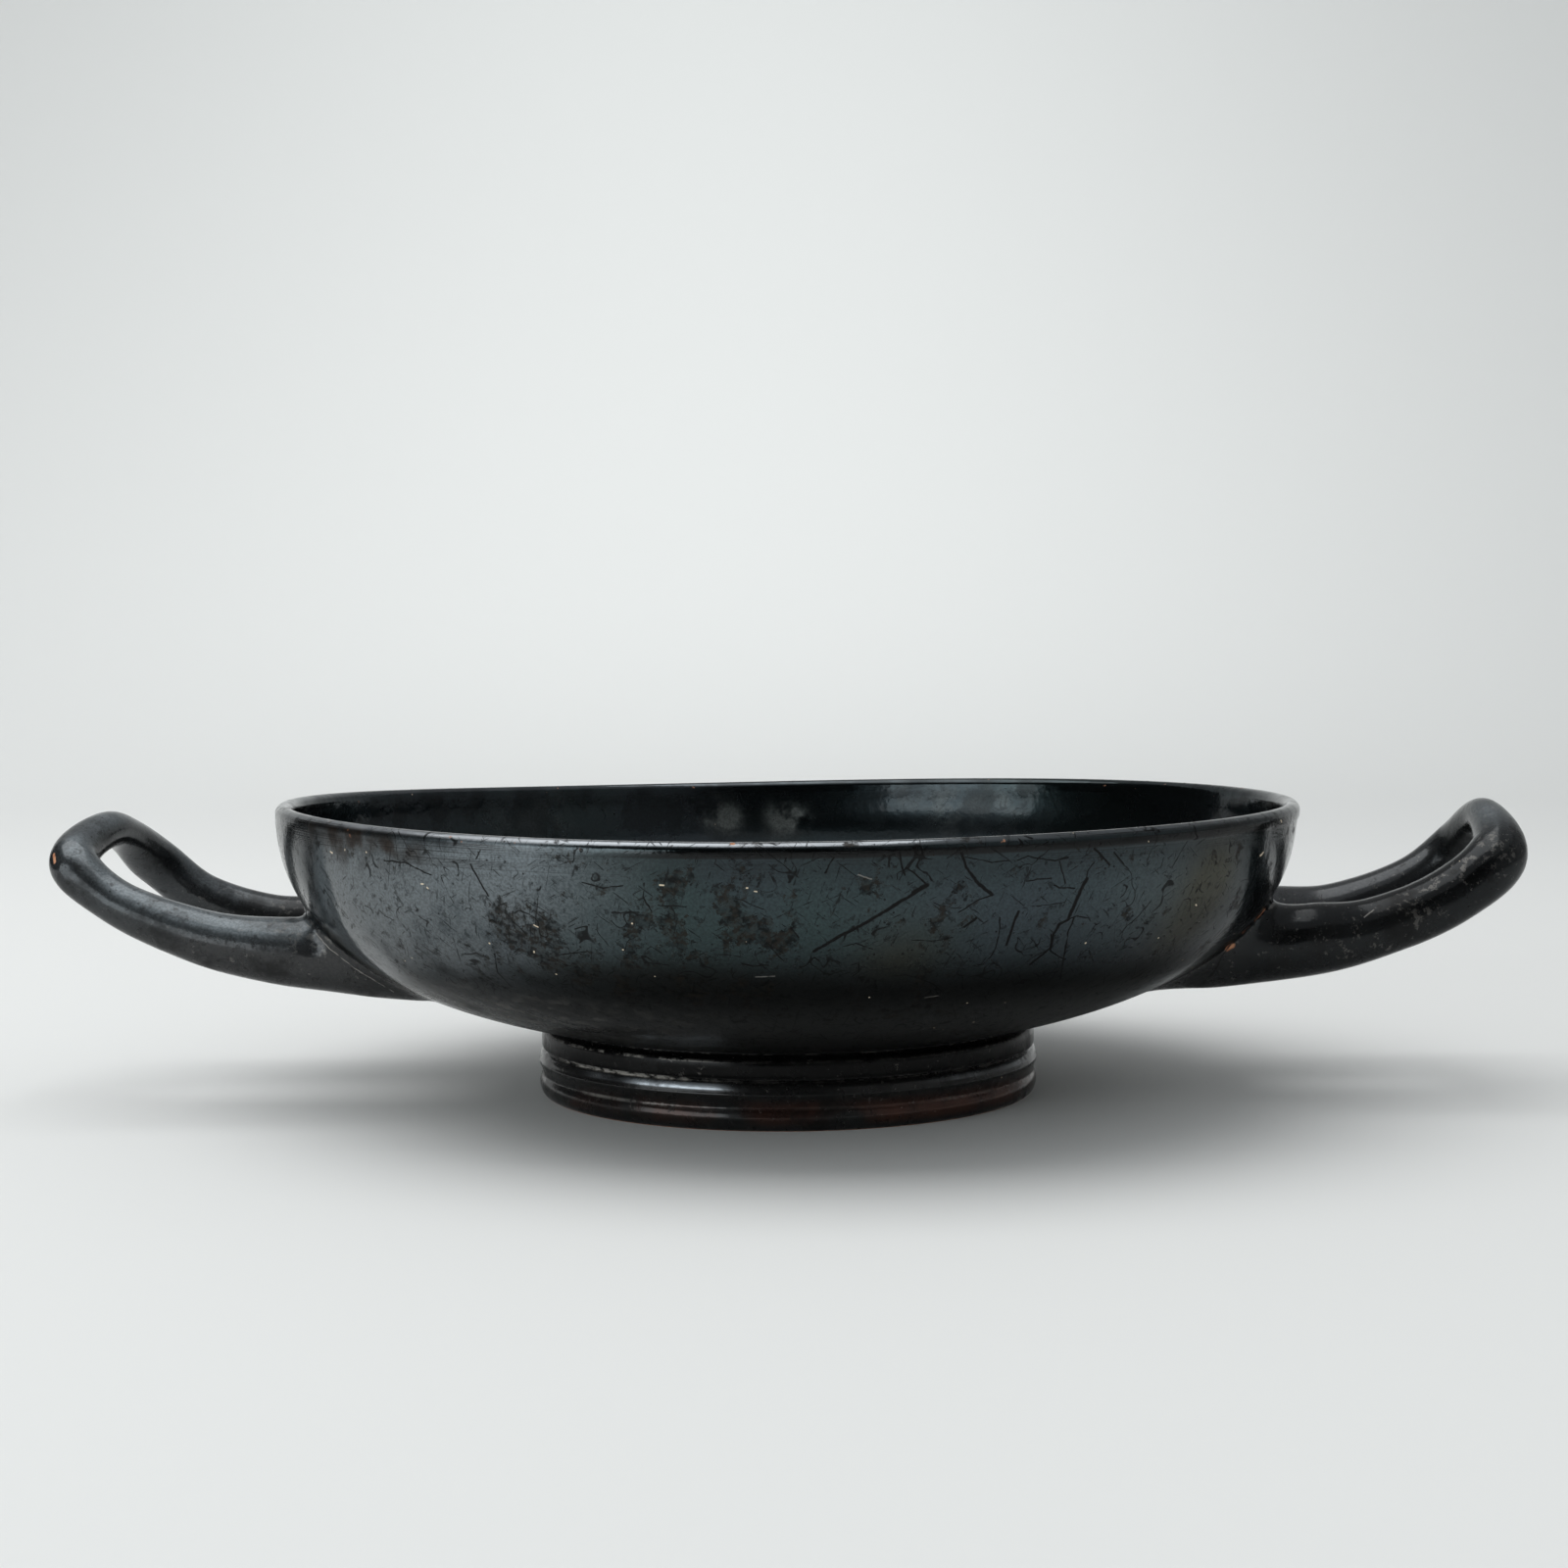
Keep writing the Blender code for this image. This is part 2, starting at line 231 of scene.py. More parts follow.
# Scratches that the photograph shows: half width, then x and y of the places along each
SCRATCHES = (
    (0.00036, 831, 971, 855, 956, 881, 943, 911, 925, 943, 905), (0.00046, 932, 911, 946, 903),
    (0.00028, 981, 870, 986, 885, 996, 899, 1004, 907), (0.00034, 1000, 903, 1012, 913),
    (0.00018, 918, 870, 920, 884, 923, 893), (0.00018, 925, 885, 935, 893, 945, 902),
    (0.00017, 850, 875, 842, 891),
    (0.00015, 1020, 936, 1020, 948, 1016, 967, 1011, 976, 1003, 984, 992, 986),
    (0.0003, 1039, 930, 1034, 943, 1027, 964), (0.00014, 807, 947, 815, 957),
    (0.00017, 757, 983, 768, 986, 784, 985), (0.00014, 876, 982, 877, 991, 870, 996),
    (0.00013, 910, 996, 925, 995, 940, 999, 954, 1005, 960, 1011),
    (0.00012, 815, 1017, 840, 1021, 854, 1017), (0.00026, 996, 937, 984, 946),
    (0.00042, 1109, 897, 1103, 907, 1097, 921, 1090, 938),
    (0.00034, 1090, 938, 1081, 943, 1074, 956, 1072, 967, 1051, 984),
    (0.00014, 1090, 938, 1099, 935, 1112, 937),
    (0.0002, 1096, 936, 1090, 951, 1087, 969, 1084, 982, 1082, 999),
    (0.00015, 1073, 953, 1072, 970, 1080, 976, 1087, 979), (0.00015, 1081, 879, 1087, 901),
    (0.00015, 1075, 903, 1081, 906, 1097, 906), (0.00018, 1137, 870, 1147, 882),
    (0.00022, 1116, 866, 1124, 873, 1132, 883), (0.00014, 1117, 880, 1110, 888, 1108, 899),
    (0.00014, 1173, 921, 1160, 936, 1149, 946, 1140, 956), (0.00011, 1217, 848, 1198, 882, 1173, 921),
    (0.00015, 1012, 913, 997, 919, 978, 931), (0.00012, 982, 874, 1012, 880, 1030, 878),
    (0.00015, 1038, 878, 1049, 873, 1056, 876, 1077, 878, 1090, 875), (0.00013, 1047, 899, 1073, 896),
    (0.00011, 1053, 925, 1069, 923, 1086, 921), (0.00012, 930, 959, 951, 960, 973, 957),
    (0.00013, 860, 966, 873, 962, 890, 968), (0.00013, 982, 997, 982, 1010),
    (0.00018, 392, 878, 413, 880, 440, 893), (0.00014, 450, 895, 463, 922),
    (0.0002, 480, 882, 490, 900, 498, 914), (0.00016, 490, 868, 486, 876), (0.00013, 372, 924, 402, 939),
    (0.00014, 594, 900, 615, 906, 635, 904), (0.00015, 657, 901, 656, 915, 665, 930),
    (0.00013, 671, 924, 700, 925), (0.00015, 572, 974, 600, 971), (0.00013, 660, 982, 682, 985),
    (0.00016, 505, 973, 508, 992, 522, 1007), (0.00014, 624, 931, 652, 931),
)
PALE_SCRATCHES = (
    (0.00013, 771, 997, 790, 996), (0.00012, 944, 1018, 957, 1016), (0.00012, 876, 893, 890, 897),
    (0.00016, 1392, 936, 1402, 928),
    (0.00014, 313, 943, 325, 955, 336, 968, 352, 980, 365, 990, 382, 1000, 402, 1012),
)
DOTS = (
    (0.00017, 430, 902, 432, 902), (0.00017, 436, 906, 437, 907), (0.00015, 545, 944, 549, 946),
    (0.00015, 545, 971, 545, 972), (0.00015, 337, 869, 339, 870), (0.00013, 352, 867, 352, 868),
    (0.00015, 762, 906, 763, 906), (0.00014, 770, 910, 772, 910), (0.00022, 1286, 873, 1289, 870),
    (0.00018, 1307, 837, 1308, 839), (0.00015, 1220, 923, 1221, 924), (0.00014, 673, 903, 677, 903),
)
CRACK = (
    (0.00022, 1291, 928, 1280, 940), (0.00022, 1275, 945, 1268, 952), (0.0007, 1252, 968, 1257, 965),
    (0.0004, 747, 861, 748, 861), (0.0004, 55, 872, 56, 880),
)
CRACK_CORE = (
    (0.0003, 1290, 931, 1272, 948, 1258, 962, 1247, 975, 1240, 990, 1231, 1000, 1224, 1006),
)
DRAWN = {
    "scratches": SCRATCHES, "pale": PALE_SCRATCHES, "dots": DOTS,
    "crack": CRACK, "crack_core": CRACK_CORE,
}

# Colours of the skin, its wear and what lies under it, and of painted sheen, highlights and shade
GLOSS_TEAL = (0.034, 0.056, 0.057, 1)
GLOSS_BLUE = (0.039, 0.053, 0.062, 1)
GLOSS_OLIVE = (0.042, 0.042, 0.028, 1)
# Darker belly colours: painted shade under the belly's swell
GLOSS_BELLY = (0.02, 0.02, 0.019, 1)
GLOSS_LOW = (0.026, 0.0255, 0.0245, 1)
GLOSS_FOOT = (0.022, 0.0215, 0.021, 1)
# Near black: painted shade on the foot's neck under the bowl
GLOSS_NECK = (0.005, 0.005, 0.005, 1)
# Painted highlight on the foot's ridge
GLOSS_RIDGE_HIGHLIGHT = (0.38, 0.41, 0.44, 1)
GLOSS_HANDLE = (0.05, 0.05, 0.051, 1)
GLOSS_BROWN = (0.04, 0.03, 0.024, 1)
# Painted highlight along the lip's top
GLOSS_LIP_HIGHLIGHT = (0.31, 0.33, 0.35, 1)
# Painted sheen and highlights
GLOSS_SHEEN = (0.14, 0.163, 0.176, 1)
# Painted shade on the right handle
GLOSS_HANDLE_SHADE = (0.01, 0.011, 0.0115, 1)
# Silvery bloom, brightened into painted glints
GLOSS_SILVER_GLINT = (0.13, 0.145, 0.14, 1)
GLOSS_DARK = (0.012, 0.015, 0.017, 1)
GLOSS_RED = (0.085, 0.027, 0.014, 1)
WORN_BROWN = (0.026, 0.022, 0.018, 1)
# Dark for wear, and for the painted shade under the lip
WEAR_AND_SHADE_DARK = (0.01, 0.01, 0.01, 1)
DUST = (0.34, 0.325, 0.3, 1)
CREAM = (0.66, 0.56, 0.42, 1)
CLAY = (0.46, 0.22, 0.12, 1)
CLAY_DARK = (0.3, 0.12, 0.06, 1)

# Specks: cells to a metre, size in cells, the share of cells that have one, and what brings them on
SPECK_LEADS = {"specked": 1.6, "value worn": 1, "value specks": 6}
SPECK_KINDS = {
    "pits": (760, 0.17, 0.1, {"value worn": 1}),
    "loose": (330, 0.075, 0.012, SPECK_LEADS),
    "fine": (700, 0.12, 0.01, SPECK_LEADS),
}
SPECK_CORE = 0.6
# The material's masks in turn: the product of terms, or in curly brackets the strongest of terms, each at its
# share. A name is an earlier mask, and "not" turns it round. Two words are specks, drawn lines, spots (held
# to 1) or a value (as it is). Patches have a noise's scale, detail and roughness, then a fade along it, and
# led ones begin with what adds to the noise. A band has a level, a half width and a soft edge. Other terms
# are fades along a measure: the start, the end and, for some, the share that is left beyond.
MASKS = {
    "handle": (("proud", 0.0004, 0.0009),),
    "foot": (("level", 0.0122, 0.0117), ("radius", 0.044, 0.0435)),
    "added": {"handle": 1, "foot": 1},
    "bowl": ("not added",),
    "inside": (("proud", -0.0012, -0.002),),
    "marked": (("proud", -0.002, -0.0012, 0.3),),
    "wall": ("bowl", "not inside"),
    "lip": ("bowl", ("rim", -0.0026, -0.002)),
    "shade": ("spots shade",),
    # The painted sheen keeps to the handles' upward faces: painted highlights on their tops
    "handle_side": ("handle", ("up", 0.7, 0.1)),
    "film_spots": ("value film", ("patches", 110, 3, 0.6, 0.15, 0.55), "not handle_side"),
    "film": ("film_spots", "not shade"),
    # Painted shade on the right handle, which is also less matte there
    "soot": ("spots soot", "handle"),
    "sooty": {"spots soot": 0.6},
    "clean_handle": ("handle", "not sooty"),
    "brown": ("spots brown", ("patches", 260, 2, 0.5, 0.3, 0.6)),
    "silver": ("value silver", ("patches", 180, 3, 0.6, 0.35, 0.65)),
    # The lower belly, darker, duller and less coated: painted shade under its swell
    "low": ("not inside", ("wandering", 0.0395, 0.0325)),
    "low_wall": ("low", "bowl"),
    "underneath": ("not inside", ("level", 0.027, 0.018)),
    "low_belly": ("underneath", "bowl"),
    "unfilmed_low": ("low_wall", "not film"),
    # Painted shade under the lip
    "under_lip": ("wall", ("level", 0.04, 0.046)),
    # Painted shade on the foot's neck under the bowl, which is also left uncoated
    "neck": ("foot", ("level", 0.0079, 0.0084)),
    "ridge": ("foot", "spots ridge", ("band", 0.0069, 0.0003, 0.0003)),
    "red": ("foot", ("patches", 75, 3, 0.5, 0.4, 0.64), ("level", 0.0056, 0.0036), ("level", 0.0004, 0.0016)),
    "resting": ("foot", ("level", 0.00012, 0.00003)),
    # Painted highlight along the front of the lip's top
    "lip_top": ("bowl", ("rim", -0.0009, -0.0003), ("y", 0.04, -0.02, 0.2), ("x", 0.03, 0.01, 0.3)),
    # Painted shade: a dark line at the foot of the lip's band
    "lip_foot": ("wall", ("band", RIM_HEIGHT - 0.0018, 0.0004, 0.0003), ("x", -0.03, -0.014, 0.25)),
    "lip_wear": ("bowl", ("rim", -0.0022, -0.0012), ("patches", 520, 2, 0.6, 0.72, 0.76)),
    "wheel_place": ("wall", ("rim", -0.007, -0.003), ("patches", 45, 2, 0.5, 0.38, 0.6)),
    "wheel_marks": ("wheel_place", ("wheel", 0.52, 0.6)),
    "worn_spots": (("led", {"value worn": 0.14, "value wear_drift": 0.16}, 240, 6, 0.75, 0.66, 0.72),),
    "worn": ("worn_spots", "bowl", "marked", ("patches", 1100, 2, 0.6, 0.44, 0.56, 0.5)),
    "scuffed": ("marked", "not lip", ("led", {"value worn": 0.04}, 620, 3, 0.66, 0.6, 0.66)),
    "rubbed": ("inside", ("level", 0.03, 0.038), ("patches", 130, 3, 0.6, 0.46, 0.6)),
    "grime": ("handle", ("patches", 95, 4, 0.66, 0.46, 0.68)),
    "hairs": ("value hair_lines", "bowl", "marked"),
    "dashes": ("value dash_lines", "wall"),
    "marks": {"hairs": 0.9, "drawn scratches": 1, "specks pits": 0.8, "dashes": 0.7, "rubbed": 0.35},
    "scuffs": ("added", ("led", {"value scuffs": 0.14}, 750, 3, 0.7, 0.62, 0.72)),
    "crust": ("handle", ("led", {"value dust": 0.32}, 900, 3, 0.7, 0.68, 0.8)),
    "join_dust": ("handle", ("proud", 0.0016, 0.0006), ("patches", 420, 2, 0.6, 0.48, 0.64)),
    "grooves": {
        ("band", 0.0078, 0.0001, 0.00035): 1,
        ("band", 0.0036, 0.0001, 0.0003): 0.25,
        ("band", 0.0108, 0.0001, 0.0002): 0.5,
    },
    "settled": ("grooves", "foot", "value lime", ("patches", 420, 3, 0.7, 0.4, 0.6)),
    "dust": {"scuffs": 0.16, "settled": 1, "crust": 0.18, "join_dust": 0.42, "drawn pale": 0.5},
    "bare": {"drawn crack": 1, "lip_wear": 0.7, "resting": 1},
    "specked": ("bowl", ("level", 0.034, 0.02)),
    "pale_specks": {"specks loose": 1, "specks fine": 1, "drawn dots": 1},
    "chalky": {"dust": 1, "bare": 1, "pale_specks": 1},
    "dull": {"worn": 0.8, "scuffed": 0.4, "grime": 0.6, "marks": 0.7, "brown": 0.7},
    "filmed": {"film": 1, "silver": 1},
    "unmetallic": {"chalky": 1, "clean_handle": 0.3, "low_belly": 0.4, "foot": 0.1, "silver": 0.5},
    "uncoated": {"dull": 1, "chalky": 1, "neck": 1, "shade": 1, "unfilmed_low": 1, "handle": 0.25},
}
# Laid over the teal gloss in turn: term, share and colour, and for some a second term and its colour
LAYERS = (
    (("drift", 0.35, 0.65), 1, GLOSS_BLUE),
    ("spots olive", 1, GLOSS_OLIVE),
    # Painted shade under the belly's swell
    ("low", 0.95, GLOSS_BELLY, "underneath", GLOSS_LOW),
    # Painted shade under the lip
    ("under_lip", 0.4, GLOSS_DARK),
    ("handle", 0.8, GLOSS_HANDLE),
    ("foot", 1, GLOSS_FOOT),
    # Painted sheen and highlights: a brighter skin, rougher and fully coated
    ("film", 1, GLOSS_SHEEN),
    ("shade", 0.7, GLOSS_DARK),
    # Painted shade on the right handle
    ("soot", 1, GLOSS_HANDLE_SHADE),
    ("brown", 1, GLOSS_BROWN),
    # Painted shade: the inside of the bowl darkened
    ("inside", 0.55, GLOSS_DARK),
    # Silvery patches and painted glints inside
    ("silver", 1, GLOSS_SILVER_GLINT),
    (("patches", 2600, 2, 0.5, 0.36, 0.64), 0.36, GLOSS_DARK),
    # Painted shade on the foot's neck under the bowl
    ("neck", 1, GLOSS_NECK),
    # Painted highlight on the foot's ridge, at the front left
    ("ridge", 1, GLOSS_RIDGE_HIGHLIGHT),
    ("red", 0.55, GLOSS_RED),
    # Painted highlight along the lip's top
    ("lip_top", 0.8, GLOSS_LIP_HIGHLIGHT),
    # Painted shade: a dark line at the foot of the lip's band
    ("lip_foot", 0.9, WEAR_AND_SHADE_DARK),
    ("wheel_marks", 0.8, WEAR_AND_SHADE_DARK),
    ("scuffed", 0.5, WEAR_AND_SHADE_DARK),
    ("worn", 0.85, WORN_BROWN, ("patches", 900, 1, 0.5, 0.4, 0.6), WEAR_AND_SHADE_DARK),
    ("marks", 1, WEAR_AND_SHADE_DARK),
    ("grime", 0.7, WEAR_AND_SHADE_DARK),
    ("dust", 1, DUST),
    ("bare", 1, CLAY, ("patches", 800, 1, 0.5, 0.35, 0.65), CLAY_DARK),
    ("pale_specks", 1, CREAM),
    ("drawn crack_core", 0.9, WEAR_AND_SHADE_DARK),
)
# Roughness of the clean gloss, then of each part and of the painted sheen and glints in turn, then of what is
# dull or chalky
GLOSS_ROUGHNESS = 0.13
PART_ROUGHNESS = {"inside": 0.20, "lip": 0.10, "handle": 0.18, "low_wall": 0.34, "filmed": 0.40}
DRIFT_ROUGHNESS = 0.06
WEAR_ROUGHNESS = {"dull": 0.55, "chalky": 0.85}
GRAZING_TINT = (0.5, 0.5, 0.5, 1)
COAT_SHARE = 0.45
COAT_ROUGHNESS = 0.07
COAT_IOR = 1.36

# Slow drifts, lime, hair lines, short straight scratches, wheel lines and drawn lines
DRIFT_NOISE = (24, 3)
LOW_DRIFT = 0.012
WEAR_DRIFT_NOISE = (38, 2)
LIME_EVERYWHERE = 0.12
HAIR_NOISE = (170, 1.5, 0.5, 1.1)
HAIR_FADE = (0.018, 0.0063)
HAIR_OFFSET = (0.31, 0.17, 0.05)
HAIR_GATE_NOISE = (190, 2)
HAIR_GATE = (0.53, 0.58)
DASH_TURNS = (0.45, 1.25, 2.5)
DASH_ALONG = 260.0
DASH_ACROSS = 2300.0
DASH_SPREAD = 7.0
DASH_NOISE = (1, 2, 0.6)
DASH_FADE = (0.655, 0.695)
WHEEL_WANDER = 22.0
WHEEL_LINES = 7000.0
WHEEL_NOISE = (1, 3, 0.6)
STROKE_CORE = 0.45
SHAKE = 0.0004
SHAKE_SCALE = 700.0
# Relief too fine for the mesh: noises, and the share of the depth that each makes
SWELL_NOISE = (130, 3)
SWELL_SHARE = 0.5
GRAIN_NOISE = (1500, 2)
GRAIN_SHARE = 0.05
WHEEL_SHARE = 0.15
BUMP_STRENGTH = 0.5
BUMP_DEPTH = 0.0006

# Studio
SWEEP_FLOOR = 0.9
SWEEP_CURVE = 1.3
SWEEP_STEPS = 160
SWEEP_CURVE_STEPS = 40
PAPER = (0.8, 0.81, 0.8, 1)
PAPER_ROUGHNESS = 0.95
PAPER_IOR = 1.1
CARD_DISTANCE = 1.2
CARD_START = math.radians(-135)
CARD_END = math.radians(130)
CARD_BOTTOM = 0.06
CARD_TOP = 1.2
CARD_STEPS = 48
# The card's colour paints the shade of the unlit room that reflections see, lighter towards +x
CARD_DARK = (0.06, 0.06, 0.06, 1)
CARD_LIGHT = (0.42, 0.42, 0.42, 1)
CARD_FADE = (0.1, 0.9)
WORLD_COLOUR = (0.96, 0.98, 1, 1)
WORLD_STRENGTH = 0.5
# Lights: place, target, size, power in watts and colour
LIGHTS = {
    "overhead": ((-0.55, 0.08, 1.25), (-0.55, 0.08, 0), (1.7, 1.15), 12, (1, 1, 1)),
    "window": ((-0.74, -0.67, 0.20), (0, 0, 0.03), (0.8, 0.36), 2.5, (0.91, 0.97, 1)),
    "backdrop": ((-0.03, 1.39, 0.89), (-0.03, 2.03, 0.30), (0.7, 1.07), 2.5, (0.98, 1, 1)),
}

# Fineness of the mesh
TURNING_STEPS = 384
INSIDE_STEPS = 44
OUTSIDE_STEPS = 56
LIP_STEPS = 14
LIP_FADE_STEPS = 5
FOOT_STEPS = 3
UNDERSIDE_STEPS = 20
LOOP_STEPS = 26
ROLL_BEVEL_RESOLUTION = 14
SHARP_ANGLE = math.radians(32)
MERGE = 0.00001

# Worked out from the sizes above
BOWL_DEPTH = RIM_HEIGHT - FOOT_HEIGHT
LIP_ROUND = LIP_THICKNESS / 2
WALL_RADIUS = RIM_RADIUS - LIP_OVERHANG
WIDEST_LEVEL = RIM_HEIGHT - WIDEST_UNDER_LIP
INSIDE_RADIUS = RIM_RADIUS - LIP_THICKNESS
INSIDE_LEVEL = RIM_HEIGHT - LIP_ROUND
CORE_OVER_RIM = 0.010


def belly_drop(share):
    """Share of the belly's depth reached where its radius is this share of the widest one."""
    return math.sqrt(1 - min(share, 1.0) ** 2) ** (2 / BELLY_FULLNESS)


BELLY_DEPTH = (WIDEST_LEVEL - FOOT_HEIGHT) / belly_drop(NECK_RADIUS / WALL_RADIUS)
INSIDE_DEPTH = INSIDE_LEVEL - (WIDEST_LEVEL - BELLY_DEPTH + FLOOR_THICKNESS)


def belly(radius, level, depth, start, end, steps):
    """Points along a belly between two shares of its widest radius, evenly in angle."""
    first, last = math.acos(start), math.acos(end)
    points = []
    for i in range(steps + 1):
        share = math.cos(first + (last - first) * i / steps)
        points.append((radius * share, level - depth * belly_drop(share)))
    return points


def outside_radius(height):
    """Radius of the bowl's outer face at a height, or at an array of heights."""
    drop = np.clip((WIDEST_LEVEL - height) / BELLY_DEPTH, 0, 1)
    return WALL_RADIUS * np.sqrt(1 - drop ** BELLY_FULLNESS)


def hermite(start, start_slope, end, end_slope, t):
    """A cubic between two values with a slope at each end, at the share t of the way."""
    return (
        (1 + 2 * t) * (1 - t) ** 2 * start
        + t * (1 - t) ** 2 * start_slope
        + t * t * (3 - 2 * t) * end
        + t * t * (t - 1) * end_slope
    )


def smooth_through(stations, steps):
    """Points of a smooth curve through stations: a place first, then whatever changes with it."""
    pairs = list(zip(stations, stations[1:]))
    gaps = [math.sqrt(math.dist(a[:3], b[:3])) for a, b in pairs]
    speeds = [[(q - p) / gap for p, q in zip(a, b)] for (a, b), gap in zip(pairs, gaps)]
    slopes = [speeds[0]]
    for before, after, near, far in zip(speeds, speeds[1:], gaps, gaps[1:]):
        slopes.append([(p * far + q * near) / (near + far) for p, q in zip(before, after)])
    slopes.append(speeds[-1])
    points = []
    for i, gap in enumerate(gaps):
        ends = list(zip(stations[i], slopes[i], stations[i + 1], slopes[i + 1]))
        for j in range(steps):
            t = j / steps
            points.append(tuple(hermite(p, m * gap, q, n * gap, t) for p, m, q, n in ends))
    points.append(tuple(stations[-1]))
    return points


def ease(share):
    """A smooth step from 0 to 1, held outside them."""
    held = np.clip(share, 0, 1)
    return held * held * (3 - 2 * held)


def lip_section():
    """The lip from its inner edge over its round top, down its band and in to the wall."""
    centre = RIM_RADIUS - LIP_ROUND
    points = []
    for i in range(LIP_STEPS + 1):
        angle = math.pi * (1 - i / LIP_STEPS)
        points.append((centre + LIP_ROUND * math.cos(angle), INSIDE_LEVEL + LIP_ROUND * math.sin(angle)))
    band_end = RIM_HEIGHT - LIP_BAND
    for i in range(LIP_FADE_STEPS + 1):
        share = i / LIP_FADE_STEPS
        points.append((RIM_RADIUS - LIP_OVERHANG * ease(share), band_end - LIP_FADE * share))
    return points


def vessel_section():
    """The whole turned section, from the floor's middle, over the lip, and back under the foot."""
    inside = belly(INSIDE_RADIUS, INSIDE_LEVEL, INSIDE_DEPTH, 0.0, 1.0, INSIDE_STEPS)
    lip = lip_section()
    wall_start = outside_radius(lip[-1][1]) / WALL_RADIUS
    neck_share = FOOT_STATIONS[0][0] / WALL_RADIUS
    outside = belly(WALL_RADIUS, WIDEST_LEVEL, BELLY_DEPTH, wall_start, neck_share, OUTSIDE_STEPS)
    foot = smooth_through(FOOT_STATIONS, FOOT_STEPS)
    resting = [(FOOT_INSIDE + FOOT_ROUND, 0.0), (FOOT_INSIDE, FOOT_ROUND)]
    ceiling_share = (FOOT_INSIDE - FOOT_WALL_LEAN) / WALL_RADIUS
    under = belly(WALL_RADIUS, WIDEST_LEVEL, BELLY_DEPTH, ceiling_share, 0.0, UNDERSIDE_STEPS)
    return inside[:-1] + lip + outside[1:] + foot[1:] + resting + under


def placed(name, data):
    """A new object with this data, in the scene."""
    item = bpy.data.objects.new(name, data)
    bpy.context.scene.collection.objects.link(item)
    return item


def turned(name, section, steps):
    """A section of (radius, height) points turned about Z."""
    mesh = bpy.data.meshes.new(name)
    edges = [(i, i + 1) for i in range(len(section) - 1)]
    mesh.from_pydata([(radius, 0.0, height) for radius, height in section], edges, [])
    item = placed(name, mesh)
    screw = item.modifiers.new("turn", "SCREW")
    screw.steps = steps
    screw.render_steps = steps
    screw.use_merge_vertices = True
    screw.merge_threshold = MERGE
    return item


def as_mesh(item):
    """Replace an object by one with its evaluated mesh, its doubled points welded."""
    graph = bpy.context.evaluated_depsgraph_get()
    mesh = bpy.data.meshes.new_from_object(item.evaluated_get(graph))
    work = bmesh.new()
    work.from_mesh(mesh)
    bmesh.ops.remove_doubles(work, verts=work.verts, dist=MERGE)
    work.to_mesh(mesh)
    work.free()
    name = item.name
    bpy.data.objects.remove(item)
    return placed(name, mesh)


def read_points(mesh, what="co"):
    """The places or normals of a mesh's points, as an array."""
    flat = np.empty(len(mesh.vertices) * 3)
    mesh.vertices.foreach_get(what, flat)
    return flat.reshape(-1, 3)


def write_places(mesh, places):
    mesh.vertices.foreach_set("co", places.ravel())
    mesh.update()


def lumps(places, scale):
    """Smooth irregular values at places, with a swell or a dip in each cell of 1 / scale."""
    return np.array([noise.noise(Vector(place) * scale) for place in places])


def rim_lift(around):
    """How far the rim stands above its mean height at an angle round the bowl."""
    return RIM_SADDLE * np.cos(2 * (around - SADDLE_TURN)) + RIM_TRIPLE * np.cos(3 * around)


def gaps_from(places, centre):
    return np.linalg.norm(places - np.array(centre), axis=1)


def lip_fill(reach, z, around):
    """How far the wall under the lip stands out to meet it, away from the right handle."""
    outside = reach > outside_radius(z) - FLOOR_THICKNESS / 2
    below_band = ease((RIM_HEIGHT - LIP_BAND - z) / LIP_FADE)
    shoulder = ease((z - SHOULDER_LEVEL) / (RIM_HEIGHT - SHOULDER_LEVEL))
    return LIP_OVERHANG * outside * below_band * shoulder * (1 - np.cos(around)) / 2


def out_of_true(places):
    """The uneven shape that throwing, drying and firing left in the turned form."""
    x, y, z = places.T.copy()
    around = np.arctan2(y, x)
    height = np.clip((z - FOOT_HEIGHT) / BOWL_DEPTH, 0, 1)
    sag = BELLY_SAG * (1 - np.cos(around)) / 2 * np.sin(math.pi * np.clip(height / SAG_TOP, 0, 1))
    fill = lip_fill(np.hypot(x, y), z, around)
    z = z + rim_lift(around) * height ** 2 - sag
    near_lip = np.clip((z - RIM_HEIGHT + LIP_FLARE_HEIGHT) / LIP_FLARE_HEIGHT, 0, 1) ** 2
    flare = LIP_FLARE * near_lip * np.clip(np.cos(around), 0, 1) ** 4
    swell = lumps(places, WOBBLE_SCALE) * WOBBLE * height
    reach = np.maximum(np.hypot(x, y), MERGE)
    grow = 1 + (flare + swell + fill) / reach
    return np.stack([x * grow, y * grow, z], axis=1)


def loop_stations(handle):
    """x, y, z and roll radius from the front root over the tip to the back root."""
    root_height = FOOT_HEIGHT + ROOT_LEVEL * BOWL_DEPTH
    root_radius = outside_radius(root_height - handle["front_radii"][0]) - ROOT_BURIED
    root_out = math.sqrt(root_radius ** 2 - handle["half_spread"] ** 2)
    reach = RIM_RADIUS + handle["projection"] - root_out
    arm_share = LOOP_STATIONS[1][0]
    front, back = [], []
    for (out, spread, rise), front_roll, back_roll, lift in zip(
            LOOP_STATIONS, handle["front_radii"], handle["back_radii"], handle["back_lift"]):
        free = max(0.0, (out - arm_share) / (1 - arm_share))
        far, wide = root_out + reach * out, handle["half_spread"] * spread
        height = root_height + handle["rise"] * rise
        front.append((far, -wide, height, front_roll, free))
        back.append((far, wide, height + lift, back_roll, free))
    loop = []
    for x, y, z, roll, free in front + back[-2::-1]:
        out = x + handle["lean"] * y * free
        loop.append((handle["side"] * out, y, z + handle["tilt"] * y * free, roll))
    return loop


